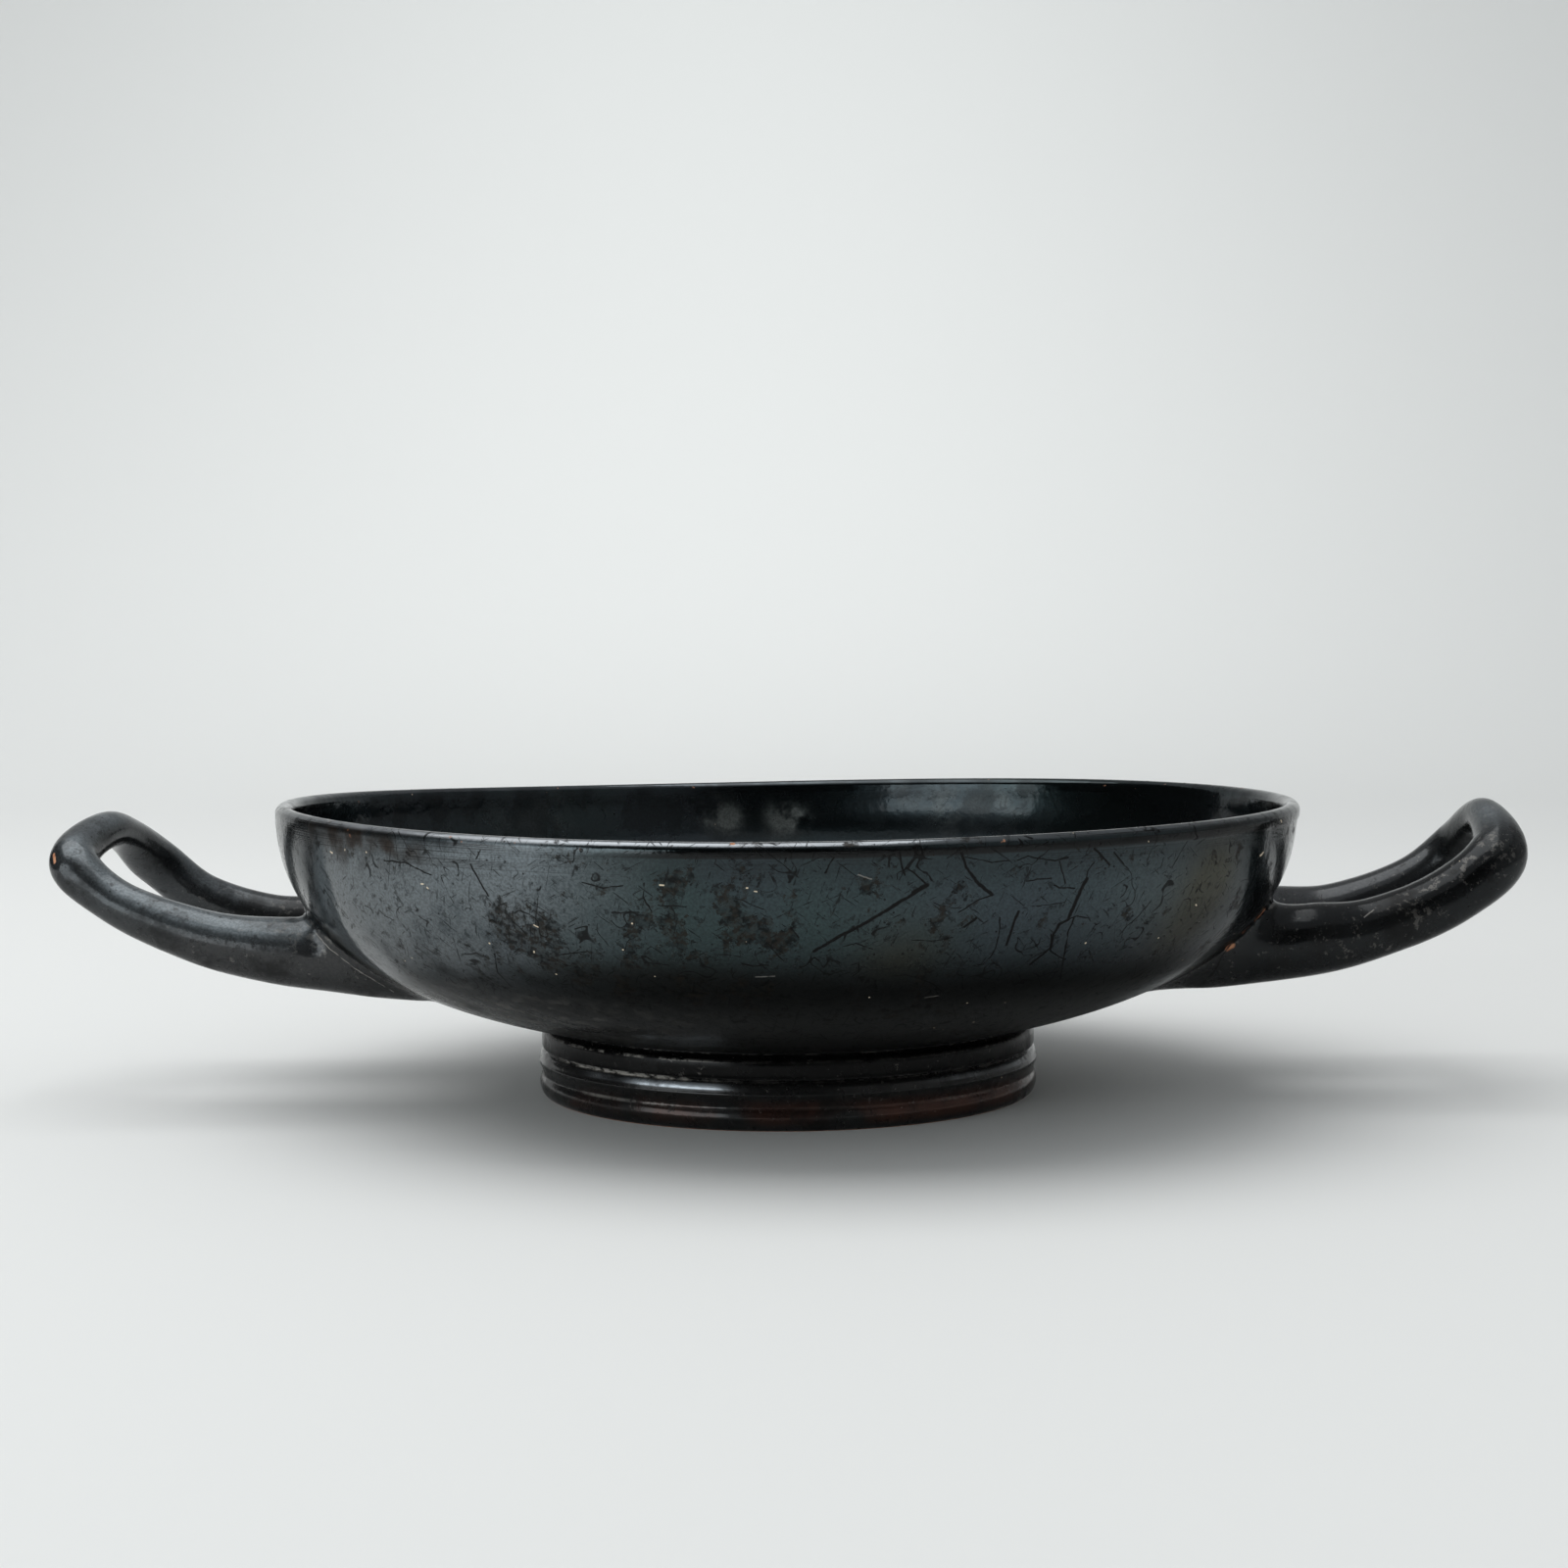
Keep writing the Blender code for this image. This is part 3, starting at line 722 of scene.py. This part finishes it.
def handle_roll(name, handle):
    """One rolled loop as a tapering tube."""
    curve = bpy.data.curves.new(name, "CURVE")
    curve.dimensions = "3D"
    curve.bevel_depth = 1.0
    curve.bevel_resolution = ROLL_BEVEL_RESOLUTION
    curve.use_fill_caps = True
    points = smooth_through(loop_stations(handle), LOOP_STEPS)
    spline = curve.splines.new("POLY")
    spline.points.add(len(points) - 1)
    for place, (x, y, z, roll) in zip(spline.points, points):
        place.co = (x, y, z, 1.0)
        place.radius = roll
    return as_mesh(placed(name, curve))


def core():
    """A turned plug whose side runs in the middle of the wall: it trims the handles' roots."""
    top = RIM_HEIGHT + CORE_OVER_RIM
    radius = (WALL_RADIUS + INSIDE_RADIUS) / 2
    depth = INSIDE_LEVEL - (WIDEST_LEVEL - BELLY_DEPTH + FLOOR_THICKNESS / 2)
    side = belly(radius, INSIDE_LEVEL, depth, 1.0, 0.0, INSIDE_STEPS)
    return as_mesh(turned("core", [(0.0, top), (radius, top)] + side, TURNING_STEPS // 2))


def joined(item, other, operation):
    """Apply a Boolean with another object, and remove that one."""
    modifier = item.modifiers.new(operation.lower(), "BOOLEAN")
    modifier.operation = operation
    modifier.solver = "EXACT"
    modifier.object = other
    result = as_mesh(item)
    bpy.data.objects.remove(other)
    return result


def collar(item, handle):
    """Thicken a roll where it meets the wall, as the clay that luted it on."""
    places = read_points(item.data)
    normals = read_points(item.data, "normal")
    proud = np.hypot(places[:, 0], places[:, 1]) - outside_radius(places[:, 2])
    near = np.exp(-np.clip(proud, 0, None) / handle["collar_reach"])
    lumpy = 1 + COLLAR_LUMPS * lumps(places, COLLAR_LUMP_SCALE)
    grow = near * handle["collar"] * lumpy * np.where(places[:, 1] < 0, 1, BACK_COLLAR)
    grow *= 1 - UNDER_COLLAR * np.clip(-UNDER_GAIN * normals[:, 2], 0, 1)
    uneven = ROLL_WOBBLE * lumps(places, ROLL_WOBBLE_SCALE)
    write_places(item.data, places + normals * (grow + uneven)[:, None])


def creases(item):
    """Middles of the sharp inward edges where the rolls meet the wall, as a searchable tree."""
    work = bmesh.new()
    work.from_mesh(item.data)
    middles = []
    for edge in work.edges:
        middle = (edge.verts[0].co + edge.verts[1].co) / 2
        at_handle = abs(middle.x) > NECK_RADIUS and FOOT_HEIGHT < middle.z < RIM_HEIGHT - LIP_BAND - LIP_FADE
        if at_handle and len(edge.link_faces) == 2 and edge.calc_face_angle_signed() < -CREASE_ANGLE:
            middles.append(middle)
    work.free()
    tree = KDTree(len(middles))
    for index, middle in enumerate(middles):
        tree.insert(middle, index)
    tree.balance()
    return tree


def soften_joins(item):
    """Round the corners where the rolls meet the wall, as wet clay smeared by a finger."""
    tree = creases(item)
    group = item.vertex_groups.new(name="joins")
    for vertex in item.data.vertices:
        place = vertex.co
        handle = HANDLES["right" if place.x > 0 else "left"]
        reach = handle["front_fillet" if place.y < 0 else "back_fillet"]
        gap = tree.find(place)[2]
        if gap < reach:
            group.add([vertex.index], float(ease(FILLET_GAIN * (1 - gap / reach))), "REPLACE")
    modifier = item.modifiers.new("soften", "SMOOTH")
    modifier.vertex_group = group.name
    modifier.iterations = FILLET_PASSES
    return as_mesh(item)


def photo_ray(pixel):
    """Start and direction of the line of sight through a pixel of the photograph."""
    across = (pixel[0] - IMAGE_SIZE / 2) / FOCAL_PIXELS
    down = (pixel[1] - IMAGE_SIZE / 2) / FOCAL_PIXELS
    turn = camera.matrix_world.to_3x3()
    return camera.matrix_world.translation, (turn @ Vector((across, -down, -1.0))).normalized()


def surface_tree(item):
    return BVHTree.FromObject(item, bpy.context.evaluated_depsgraph_get())


def seen_at(tree, pixel):
    """Place and normal of the surface that the photograph shows at a pixel."""
    start, direction = photo_ray(pixel)
    place, normal, _, _ = tree.ray_cast(start, direction)
    return place, normal


def chip(item, tree):
    """Press small chips and nicks into the surface at places of the photograph."""
    places = read_points(item.data)
    for *pixel, radius, depth in CHIPS:
        centre, normal = seen_at(tree, pixel)
        press = depth * ease(1 - gaps_from(places, centre) / radius)
        places = places - np.array(normal) * press[:, None]
    write_places(item.data, places)


def turned_level(places):
    """The height that each point had in the turned form, before it went out of true."""
    x, y, z = places.T
    height = np.clip((z - FOOT_HEIGHT) / BOWL_DEPTH, 0, 1)
    return z - rim_lift(np.arctan2(y, x)) * height ** 2


def write_field(item, name, values):
    attribute = item.data.attributes.new(name, "FLOAT", "POINT")
    attribute.data.foreach_set("value", np.ascontiguousarray(values, dtype=np.float32))


def write_fields(item, tree):
    """Fields for the material: height in the turned form, clearance of the wall, upward facing, spots."""
    places = read_points(item.data)
    level = turned_level(places)
    write_field(item, "level", level)
    write_field(item, "proud", np.hypot(places[:, 0], places[:, 1]) - outside_radius(level))
    write_field(item, "up", read_points(item.data, "normal")[:, 2])
    for name, spots in SOFT_SPOTS.items():
        total = np.zeros(len(places))
        for *pixel, radius, strength in spots:
            centre, _ = seen_at(tree, pixel)
            total += strength * np.exp(-(gaps_from(places, centre) / radius) ** 2)
        write_field(item, name, total)


def make_bowl():
    """The bowl with its foot and handles, as one closed fine mesh."""
    bowl = as_mesh(turned("bowl_surface", vessel_section(), TURNING_STEPS))
    write_places(bowl.data, out_of_true(read_points(bowl.data)))
    for name, handle in HANDLES.items():
        roll = handle_roll("handle_" + name, handle)
        collar(roll, handle)
        bowl = joined(bowl, joined(roll, core(), "DIFFERENCE"), "UNION")
    bowl = soften_joins(bowl)
    chip(bowl, surface_tree(bowl))
    bowl.data.shade_smooth()
    bowl.data.set_sharp_from_angle(angle=SHARP_ANGLE)
    return bowl


def make_camera():
    """The photograph's viewpoint."""
    data = bpy.data.cameras.new("camera")
    data.sensor_width = SENSOR_WIDTH
    data.lens = FOCAL_PIXELS * SENSOR_WIDTH / IMAGE_SIZE
    data.clip_start = CLIP_START
    item = placed("camera", data)
    level = Matrix.Rotation(math.pi / 2 - CAMERA_PITCH, 4, "X")
    item.matrix_world = Matrix.Translation(CAMERA_PLACE) @ level @ Matrix.Rotation(CAMERA_ROLL, 4, "Z")
    bpy.context.scene.camera = item
    bpy.context.view_layer.update()
    return item


def new_material(name):
    """A new material and the inputs of its shader."""
    material = bpy.data.materials.new(name)
    material.use_nodes = True
    return material, material.node_tree.nodes["Principled BSDF"].inputs


class Net:
    """Short calls that add nodes to one node tree."""

    def __init__(self, tree):
        self.tree = tree

    def put(self, socket, value):
        if isinstance(value, bpy.types.NodeSocket):
            self.tree.links.new(value, socket)
        else:
            socket.default_value = value

    def node(self, kind, inputs, **settings):
        item = self.tree.nodes.new(kind)
        for name, value in settings.items():
            setattr(item, name, value)
        for key, value in inputs.items():
            self.put(item.inputs[key], value)
        return item

    def math(self, operation, first, second=0.0, third=0.0):
        return self.node("ShaderNodeMath", {0: first, 1: second, 2: third}, operation=operation).outputs[0]

    def chain(self, operation, values):
        total = values[0]
        for value in values[1:]:
            total = self.math(operation, total, value)
        return total

    def times(self, *values):
        return self.chain("MULTIPLY", values)

    def largest(self, *values):
        return self.chain("MAXIMUM", values)

    def rest(self, value):
        return self.math("SUBTRACT", 1.0, value)

    def clamp(self, value):
        return self.node("ShaderNodeClamp", {0: value}).outputs[0]

    def vector(self, operation, first, second=(0.0, 0.0, 0.0)):
        return self.node("ShaderNodeVectorMath", {0: first, 1: second}, operation=operation)

    def ramp(self, value, start, end, beyond=0.0):
        """A smooth step: from what is left beyond the start, to 1 at the end."""
        inputs = {"Value": value, "From Min": start, "From Max": end, "To Min": beyond}
        return self.node("ShaderNodeMapRange", inputs, interpolation_type="SMOOTHSTEP").outputs[0]

    def noise(self, place, scale, detail=2.0, roughness=0.5, distortion=0.0):
        inputs = {"Vector": place, "Scale": scale, "Detail": detail,
                  "Roughness": roughness, "Distortion": distortion}
        return self.node("ShaderNodeTexNoise", inputs).outputs[0]

    def cells(self, place, scale):
        """Distance to the nearest cell's middle, in cells, and a random share for that cell."""
        item = self.node("ShaderNodeTexVoronoi", {"Vector": place, "Scale": scale})
        share = self.node("ShaderNodeSeparateColor", {0: item.outputs["Color"]})
        return item.outputs["Distance"], share.outputs[0]

    def field(self, name):
        return self.node("ShaderNodeAttribute", {}, attribute_name=name).outputs["Fac"]

    def mix(self, share, first, second):
        """A colour between two, by a share."""
        return self.node("ShaderNodeMix", {0: share, 6: first, 7: second}, data_type="RGBA").outputs[2]

    def blend(self, share, first, second):
        """A number between two, by a share."""
        return self.node("ShaderNodeMix", {0: share, 2: first, 3: second}, data_type="FLOAT").outputs[0]


def stroke_group():
    """A node group: distance to the straight line between two places, in half widths of that line."""
    tree = bpy.data.node_groups.new("stroke", "ShaderNodeTree")
    for name in ("Place", "Start", "Toward", "Share"):
        tree.interface.new_socket(name, in_out="INPUT", socket_type="NodeSocketVector")
    tree.interface.new_socket("Per Width", in_out="INPUT", socket_type="NodeSocketFloat")
    tree.interface.new_socket("Gap", in_out="OUTPUT", socket_type="NodeSocketFloat")
    net = Net(tree)
    given = net.node("NodeGroupInput", {}).outputs
    offset = net.vector("SUBTRACT", given["Place"], given["Start"]).outputs[0]
    along = net.vector("DOT_PRODUCT", offset, given["Share"]).outputs["Value"]
    scaled = {0: given["Toward"], "Scale": net.clamp(along)}
    reach = net.node("ShaderNodeVectorMath", scaled, operation="SCALE")
    gap = net.vector("DISTANCE", offset, reach.outputs[0]).outputs["Value"]
    net.node("NodeGroupOutput", {0: net.times(gap, given["Per Width"])})
    return tree


def strokes(net, place, tree, group, lines):
    """The union of pen-like lines through places of the photograph."""
    nearest = 1.0
    for half_width, *numbers in lines:
        spots = [seen_at(tree, pixel)[0] for pixel in zip(numbers[::2], numbers[1::2])]
        for start, end in zip(spots, spots[1:]):
            toward = end - start
            share = toward / max(toward.length_squared, MERGE ** 2)
            inputs = {"Place": place, "Start": start, "Toward": toward, "Share": share}
            line = net.node("ShaderNodeGroup", {**inputs, "Per Width": 1 / half_width}, node_tree=group)
            nearest = net.math("MINIMUM", nearest, line.outputs[0])
    return net.ramp(nearest, 1.0, STROKE_CORE)


def hair_lines(net, place):
    """Short curved hair-thin lines: the middle contour of a noise, cut up by another."""
    away = net.math("ABSOLUTE", net.math("SUBTRACT", net.noise(place, *HAIR_NOISE), 0.5))
    other = net.vector("ADD", place, HAIR_OFFSET).outputs[0]
    return net.times(net.ramp(away, *HAIR_FADE), net.ramp(net.noise(other, *HAIR_GATE_NOISE), *HAIR_GATE))


def dash_lines(net, x, y, level):
    """Short straight scratches in a few directions of the wall."""
    around = net.times(net.math("ARCTAN2", y, x), RIM_RADIUS)
    found = []
    for turn in DASH_TURNS:
        along = net.math("MULTIPLY_ADD", around, math.cos(turn), net.times(level, math.sin(turn)))
        across = net.math("MULTIPLY_ADD", around, -math.sin(turn), net.times(level, math.cos(turn)))
        parts = {0: net.times(along, DASH_ALONG), 1: net.times(across, DASH_ACROSS), 2: turn * DASH_SPREAD}
        stretched = net.node("ShaderNodeCombineXYZ", parts).outputs[0]
        found.append(net.ramp(net.noise(stretched, *DASH_NOISE), *DASH_FADE))
    return net.largest(*found)


def wheel_lines(net, place, level):
    """Fine level lines that a tool left in the turning clay."""
    flat = net.vector("MULTIPLY", place, (WHEEL_WANDER, WHEEL_WANDER, 0.0)).outputs[0]
    rise = net.node("ShaderNodeCombineXYZ", {2: net.times(level, WHEEL_LINES)}).outputs[0]
    return net.noise(net.vector("ADD", flat, rise).outputs[0], *WHEEL_NOISE)


def shaken(net, place):
    """The place with a fine irregular offset, so that drawn lines aren't ruler-straight."""
    wander = net.node("ShaderNodeTexNoise", {"Vector": place, "Scale": SHAKE_SCALE, "Detail": 2.0})
    centred = net.vector("SUBTRACT", wander.outputs["Color"], (0.5, 0.5, 0.5)).outputs[0]
    small = net.node("ShaderNodeVectorMath", {0: centred, "Scale": SHAKE}, operation="SCALE").outputs[0]
    return net.vector("ADD", place, small).outputs[0]


class Skin:
    """The masks of one worn black-gloss surface, made from their tables."""

    def __init__(self, net, tree):
        self.net = net
        self.tree = tree
        self.group = stroke_group()
        self.place = net.node("ShaderNodeTexCoord", {}).outputs["Object"]
        self.shaken = shaken(net, self.place)
        self.measures = self.make_measures()
        self.kinds = {"patches": self.patches, "led": self.led_patches, "band": self.band,
                      "specks": self.specks, "drawn": self.drawn, "spots": self.spots, "value": self.value}
        self.masks = {}
        for name, terms in MASKS.items():
            self.masks[name] = self.strongest(terms) if isinstance(terms, dict) else self.product(terms)

    def make_measures(self):
        """What fades run along, and values for the masks, besides the fields of the mesh."""
        net, place = self.net, self.place
        x, y, _ = net.node("ShaderNodeSeparateXYZ", {0: place}).outputs
        flat = net.vector("MULTIPLY", place, (1, 1, 0)).outputs[0]
        level = net.field("level")
        drift = net.noise(place, *DRIFT_NOISE)
        return {
            "x": x, "y": y, "level": level, "drift": drift,
            "radius": net.vector("LENGTH", flat).outputs["Value"],
            "rim": net.math("SUBTRACT", level, RIM_HEIGHT),
            "wandering": net.math("MULTIPLY_ADD", drift, LOW_DRIFT, level),
            "wear_drift": net.noise(place, *WEAR_DRIFT_NOISE),
            "lime": net.math("ADD", net.field("lime"), LIME_EVERYWHERE),
            "wheel": wheel_lines(net, place, level),
            "hair_lines": hair_lines(net, place),
            "dash_lines": dash_lines(net, x, y, level),
        }

    def value(self, name):
        """A measure, or else a field of the mesh."""
        return self.measures[name] if name in self.measures else self.net.field(name)

    def spots(self, name):
        return self.net.clamp(self.net.field(name))

    def drawn(self, name):
        return strokes(self.net, self.shaken, self.tree, self.group, DRAWN[name])

    def band(self, centre, half, soft):
        """1 within a half width of a level, fading over a soft edge."""
        away = self.net.math("ABSOLUTE", self.net.math("SUBTRACT", self.measures["level"], centre))
        return self.net.ramp(away, half + soft, half)

    def led(self, total, leads):
        """A value with each of some terms added, at its share."""
        for term, share in leads.items():
            total = self.net.math("MULTIPLY_ADD", self.term(term), share, total)
        return total

    def led_patches(self, leads, scale, detail, roughness, *fade):
        """Irregular patches, with more of them where their leads are high."""
        value = self.net.noise(self.place, scale, detail, roughness)
        return self.net.ramp(self.led(value, leads), *fade)

    def patches(self, *details):
        return self.led_patches({}, *details)

    def specks(self, name):
        """Small round specks in a share of the cells, more where their leads are high."""
        scale, size, share, leads = SPECK_KINDS[name]
        gap, pick = self.net.cells(self.place, scale)
        most = self.net.math("MULTIPLY_ADD", self.led(0.0, leads), share, share)
        chosen = self.net.math("LESS_THAN", pick, most)
        return self.net.times(self.net.ramp(gap, size, size * SPECK_CORE), chosen)

    def term(self, words):
        """One term, as the table of masks words it."""
        if isinstance(words, tuple):
            kind, *details = words
            if kind in self.kinds:
                return self.kinds[kind](*details)
            return self.net.ramp(self.value(kind), *details)
        kind, _, name = words.partition(" ")
        if kind == "not":
            return self.net.rest(self.masks[name])
        return self.kinds[kind](name) if name else self.masks[words]

    def product(self, terms):
        return self.net.clamp(self.net.times(*[self.term(words) for words in terms]))

    def strongest(self, shares):
        return self.net.largest(*[self.net.times(self.term(words), share) for words, share in shares.items()])


def layered_colour(net, skin):
    """The teal gloss, with each layer laid over it in turn."""
    result = GLOSS_TEAL
    for words, share, colour, *change in LAYERS:
        if change:
            colour = net.mix(skin.term(change[0]), colour, change[1])
        result = net.mix(net.times(skin.term(words), share), result, colour)
    return result


def layered_roughness(net, skin):
    """The roughness of the clean parts, with a drift, and then that of what is dull or chalky."""
    result = GLOSS_ROUGHNESS
    for name, roughness in PART_ROUGHNESS.items():
        result = net.blend(skin.masks[name], result, roughness)
    result = net.math("MULTIPLY_ADD", skin.measures["drift"], DRIFT_ROUGHNESS, result)
    for name, roughness in WEAR_ROUGHNESS.items():
        result = net.blend(skin.masks[name], result, roughness)
    return result


def fine_relief(net, skin):
    """Low swells, grain and wheel lines, as a normal."""
    grain = net.times(net.noise(skin.place, *GRAIN_NOISE), GRAIN_SHARE)
    height = net.math("MULTIPLY_ADD", net.noise(skin.place, *SWELL_NOISE), SWELL_SHARE, grain)
    wheel = net.times(skin.measures["wheel"], skin.masks["wheel_place"], WHEEL_SHARE)
    inputs = {"Height": net.math("ADD", height, wheel), "Strength": BUMP_STRENGTH, "Distance": BUMP_DEPTH}
    return net.node("ShaderNodeBump", inputs).outputs[0]


def black_gloss(tree):
    """Worn black gloss on orange clay: a thin semi-metallic skin, rubbed, scratched and chipped, with painted
    sheen, highlights and shade at places.
    """
    material, inputs = new_material("black_gloss")
    net = Net(material.node_tree)
    skin = Skin(net, tree)
    relief = fine_relief(net, skin)
    net.put(inputs["Base Color"], layered_colour(net, skin))
    net.put(inputs["Metallic"], net.rest(skin.masks["unmetallic"]))
    net.put(inputs["Roughness"], layered_roughness(net, skin))
    coat = net.blend(skin.masks["film"], COAT_SHARE, 1.0)
    net.put(inputs["Coat Weight"], net.times(net.rest(skin.masks["uncoated"]), coat))
    net.put(inputs["Normal"], relief)
    net.put(inputs["Coat Normal"], relief)
    inputs["Coat Roughness"].default_value = COAT_ROUGHNESS
    inputs["Coat IOR"].default_value = COAT_IOR
    inputs["Specular Tint"].default_value = GRAZING_TINT
    return material


def make_sweep():
    """A round paper sweep: floor and wall in one curve, seamless from every side."""
    points = [(0.0, 0.0), (SWEEP_FLOOR, 0.0)]
    for i in range(1, SWEEP_CURVE_STEPS + 1):
        angle = math.pi / 2 * i / SWEEP_CURVE_STEPS
        points.append((SWEEP_FLOOR + SWEEP_CURVE * math.sin(angle), SWEEP_CURVE * (1 - math.cos(angle))))
    sweep = as_mesh(turned("sweep", points, SWEEP_STEPS))
    sweep.data.shade_smooth()
    material, inputs = new_material("paper")
    inputs["Base Color"].default_value = PAPER
    inputs["Roughness"].default_value = PAPER_ROUGHNESS
    inputs["IOR"].default_value = PAPER_IOR
    sweep.data.materials.append(material)


def make_dark_card():
    """A dark screen behind the camera that only reflections see, as the unlit side of the room."""
    mesh = bpy.data.meshes.new("dark_card")
    corners = []
    faces = []
    for i in range(CARD_STEPS + 1):
        angle = CARD_START + (CARD_END - CARD_START) * i / CARD_STEPS
        x, y = CARD_DISTANCE * math.sin(angle), -CARD_DISTANCE * math.cos(angle)
        corners += [(x, y, CARD_BOTTOM), (x, y, CARD_TOP)]
        if i:
            faces.append((2 * i - 2, 2 * i, 2 * i + 1, 2 * i - 1))
    mesh.from_pydata(corners, [], faces)
    card = placed("dark_card", mesh)
    material, inputs = new_material("unlit_room_shade")
    net = Net(material.node_tree)
    across = net.node("ShaderNodeSeparateXYZ", {0: net.node("ShaderNodeTexCoord", {}).outputs["Object"]})
    net.put(inputs["Base Color"], net.mix(net.ramp(across.outputs[0], *CARD_FADE), CARD_DARK, CARD_LIGHT))
    inputs["Roughness"].default_value = 1.0
    inputs["Specular IOR Level"].default_value = 0.0
    mesh.materials.append(material)
    card.visible_camera = False
    card.visible_diffuse = False
    card.visible_shadow = False


def area_light(name, place, target, size, power, colour):
    """A soft rectangular light at a place, facing a target."""
    data = bpy.data.lights.new(name, "AREA")
    data.shape = "RECTANGLE"
    data.size, data.size_y = size
    data.energy = power
    data.color = colour
    light = placed(name, data)
    aim = (Vector(target) - Vector(place)).to_track_quat("-Z", "Y")
    light.matrix_world = Matrix.Translation(Vector(place)) @ aim.to_matrix().to_4x4()
    light.visible_camera = False


def make_world():
    """A dim even light from all round, as the white walls of the room."""
    world = bpy.data.worlds.new("room")
    bpy.context.scene.world = world
    world.use_nodes = True
    background = world.node_tree.nodes["Background"]
    background.inputs["Color"].default_value = WORLD_COLOUR
    background.inputs["Strength"].default_value = WORLD_STRENGTH


camera = make_camera()
bowl = make_bowl()
bowl_tree = surface_tree(bowl)
write_fields(bowl, bowl_tree)
bowl.data.materials.clear()
bowl.data.materials.append(black_gloss(bowl_tree))
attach(bowl, "root")
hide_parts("bowl")

make_sweep()
make_dark_card()
make_world()
for name, details in LIGHTS.items():
    area_light(name, *details)
bpy.context.scene.view_settings.view_transform = "Standard"
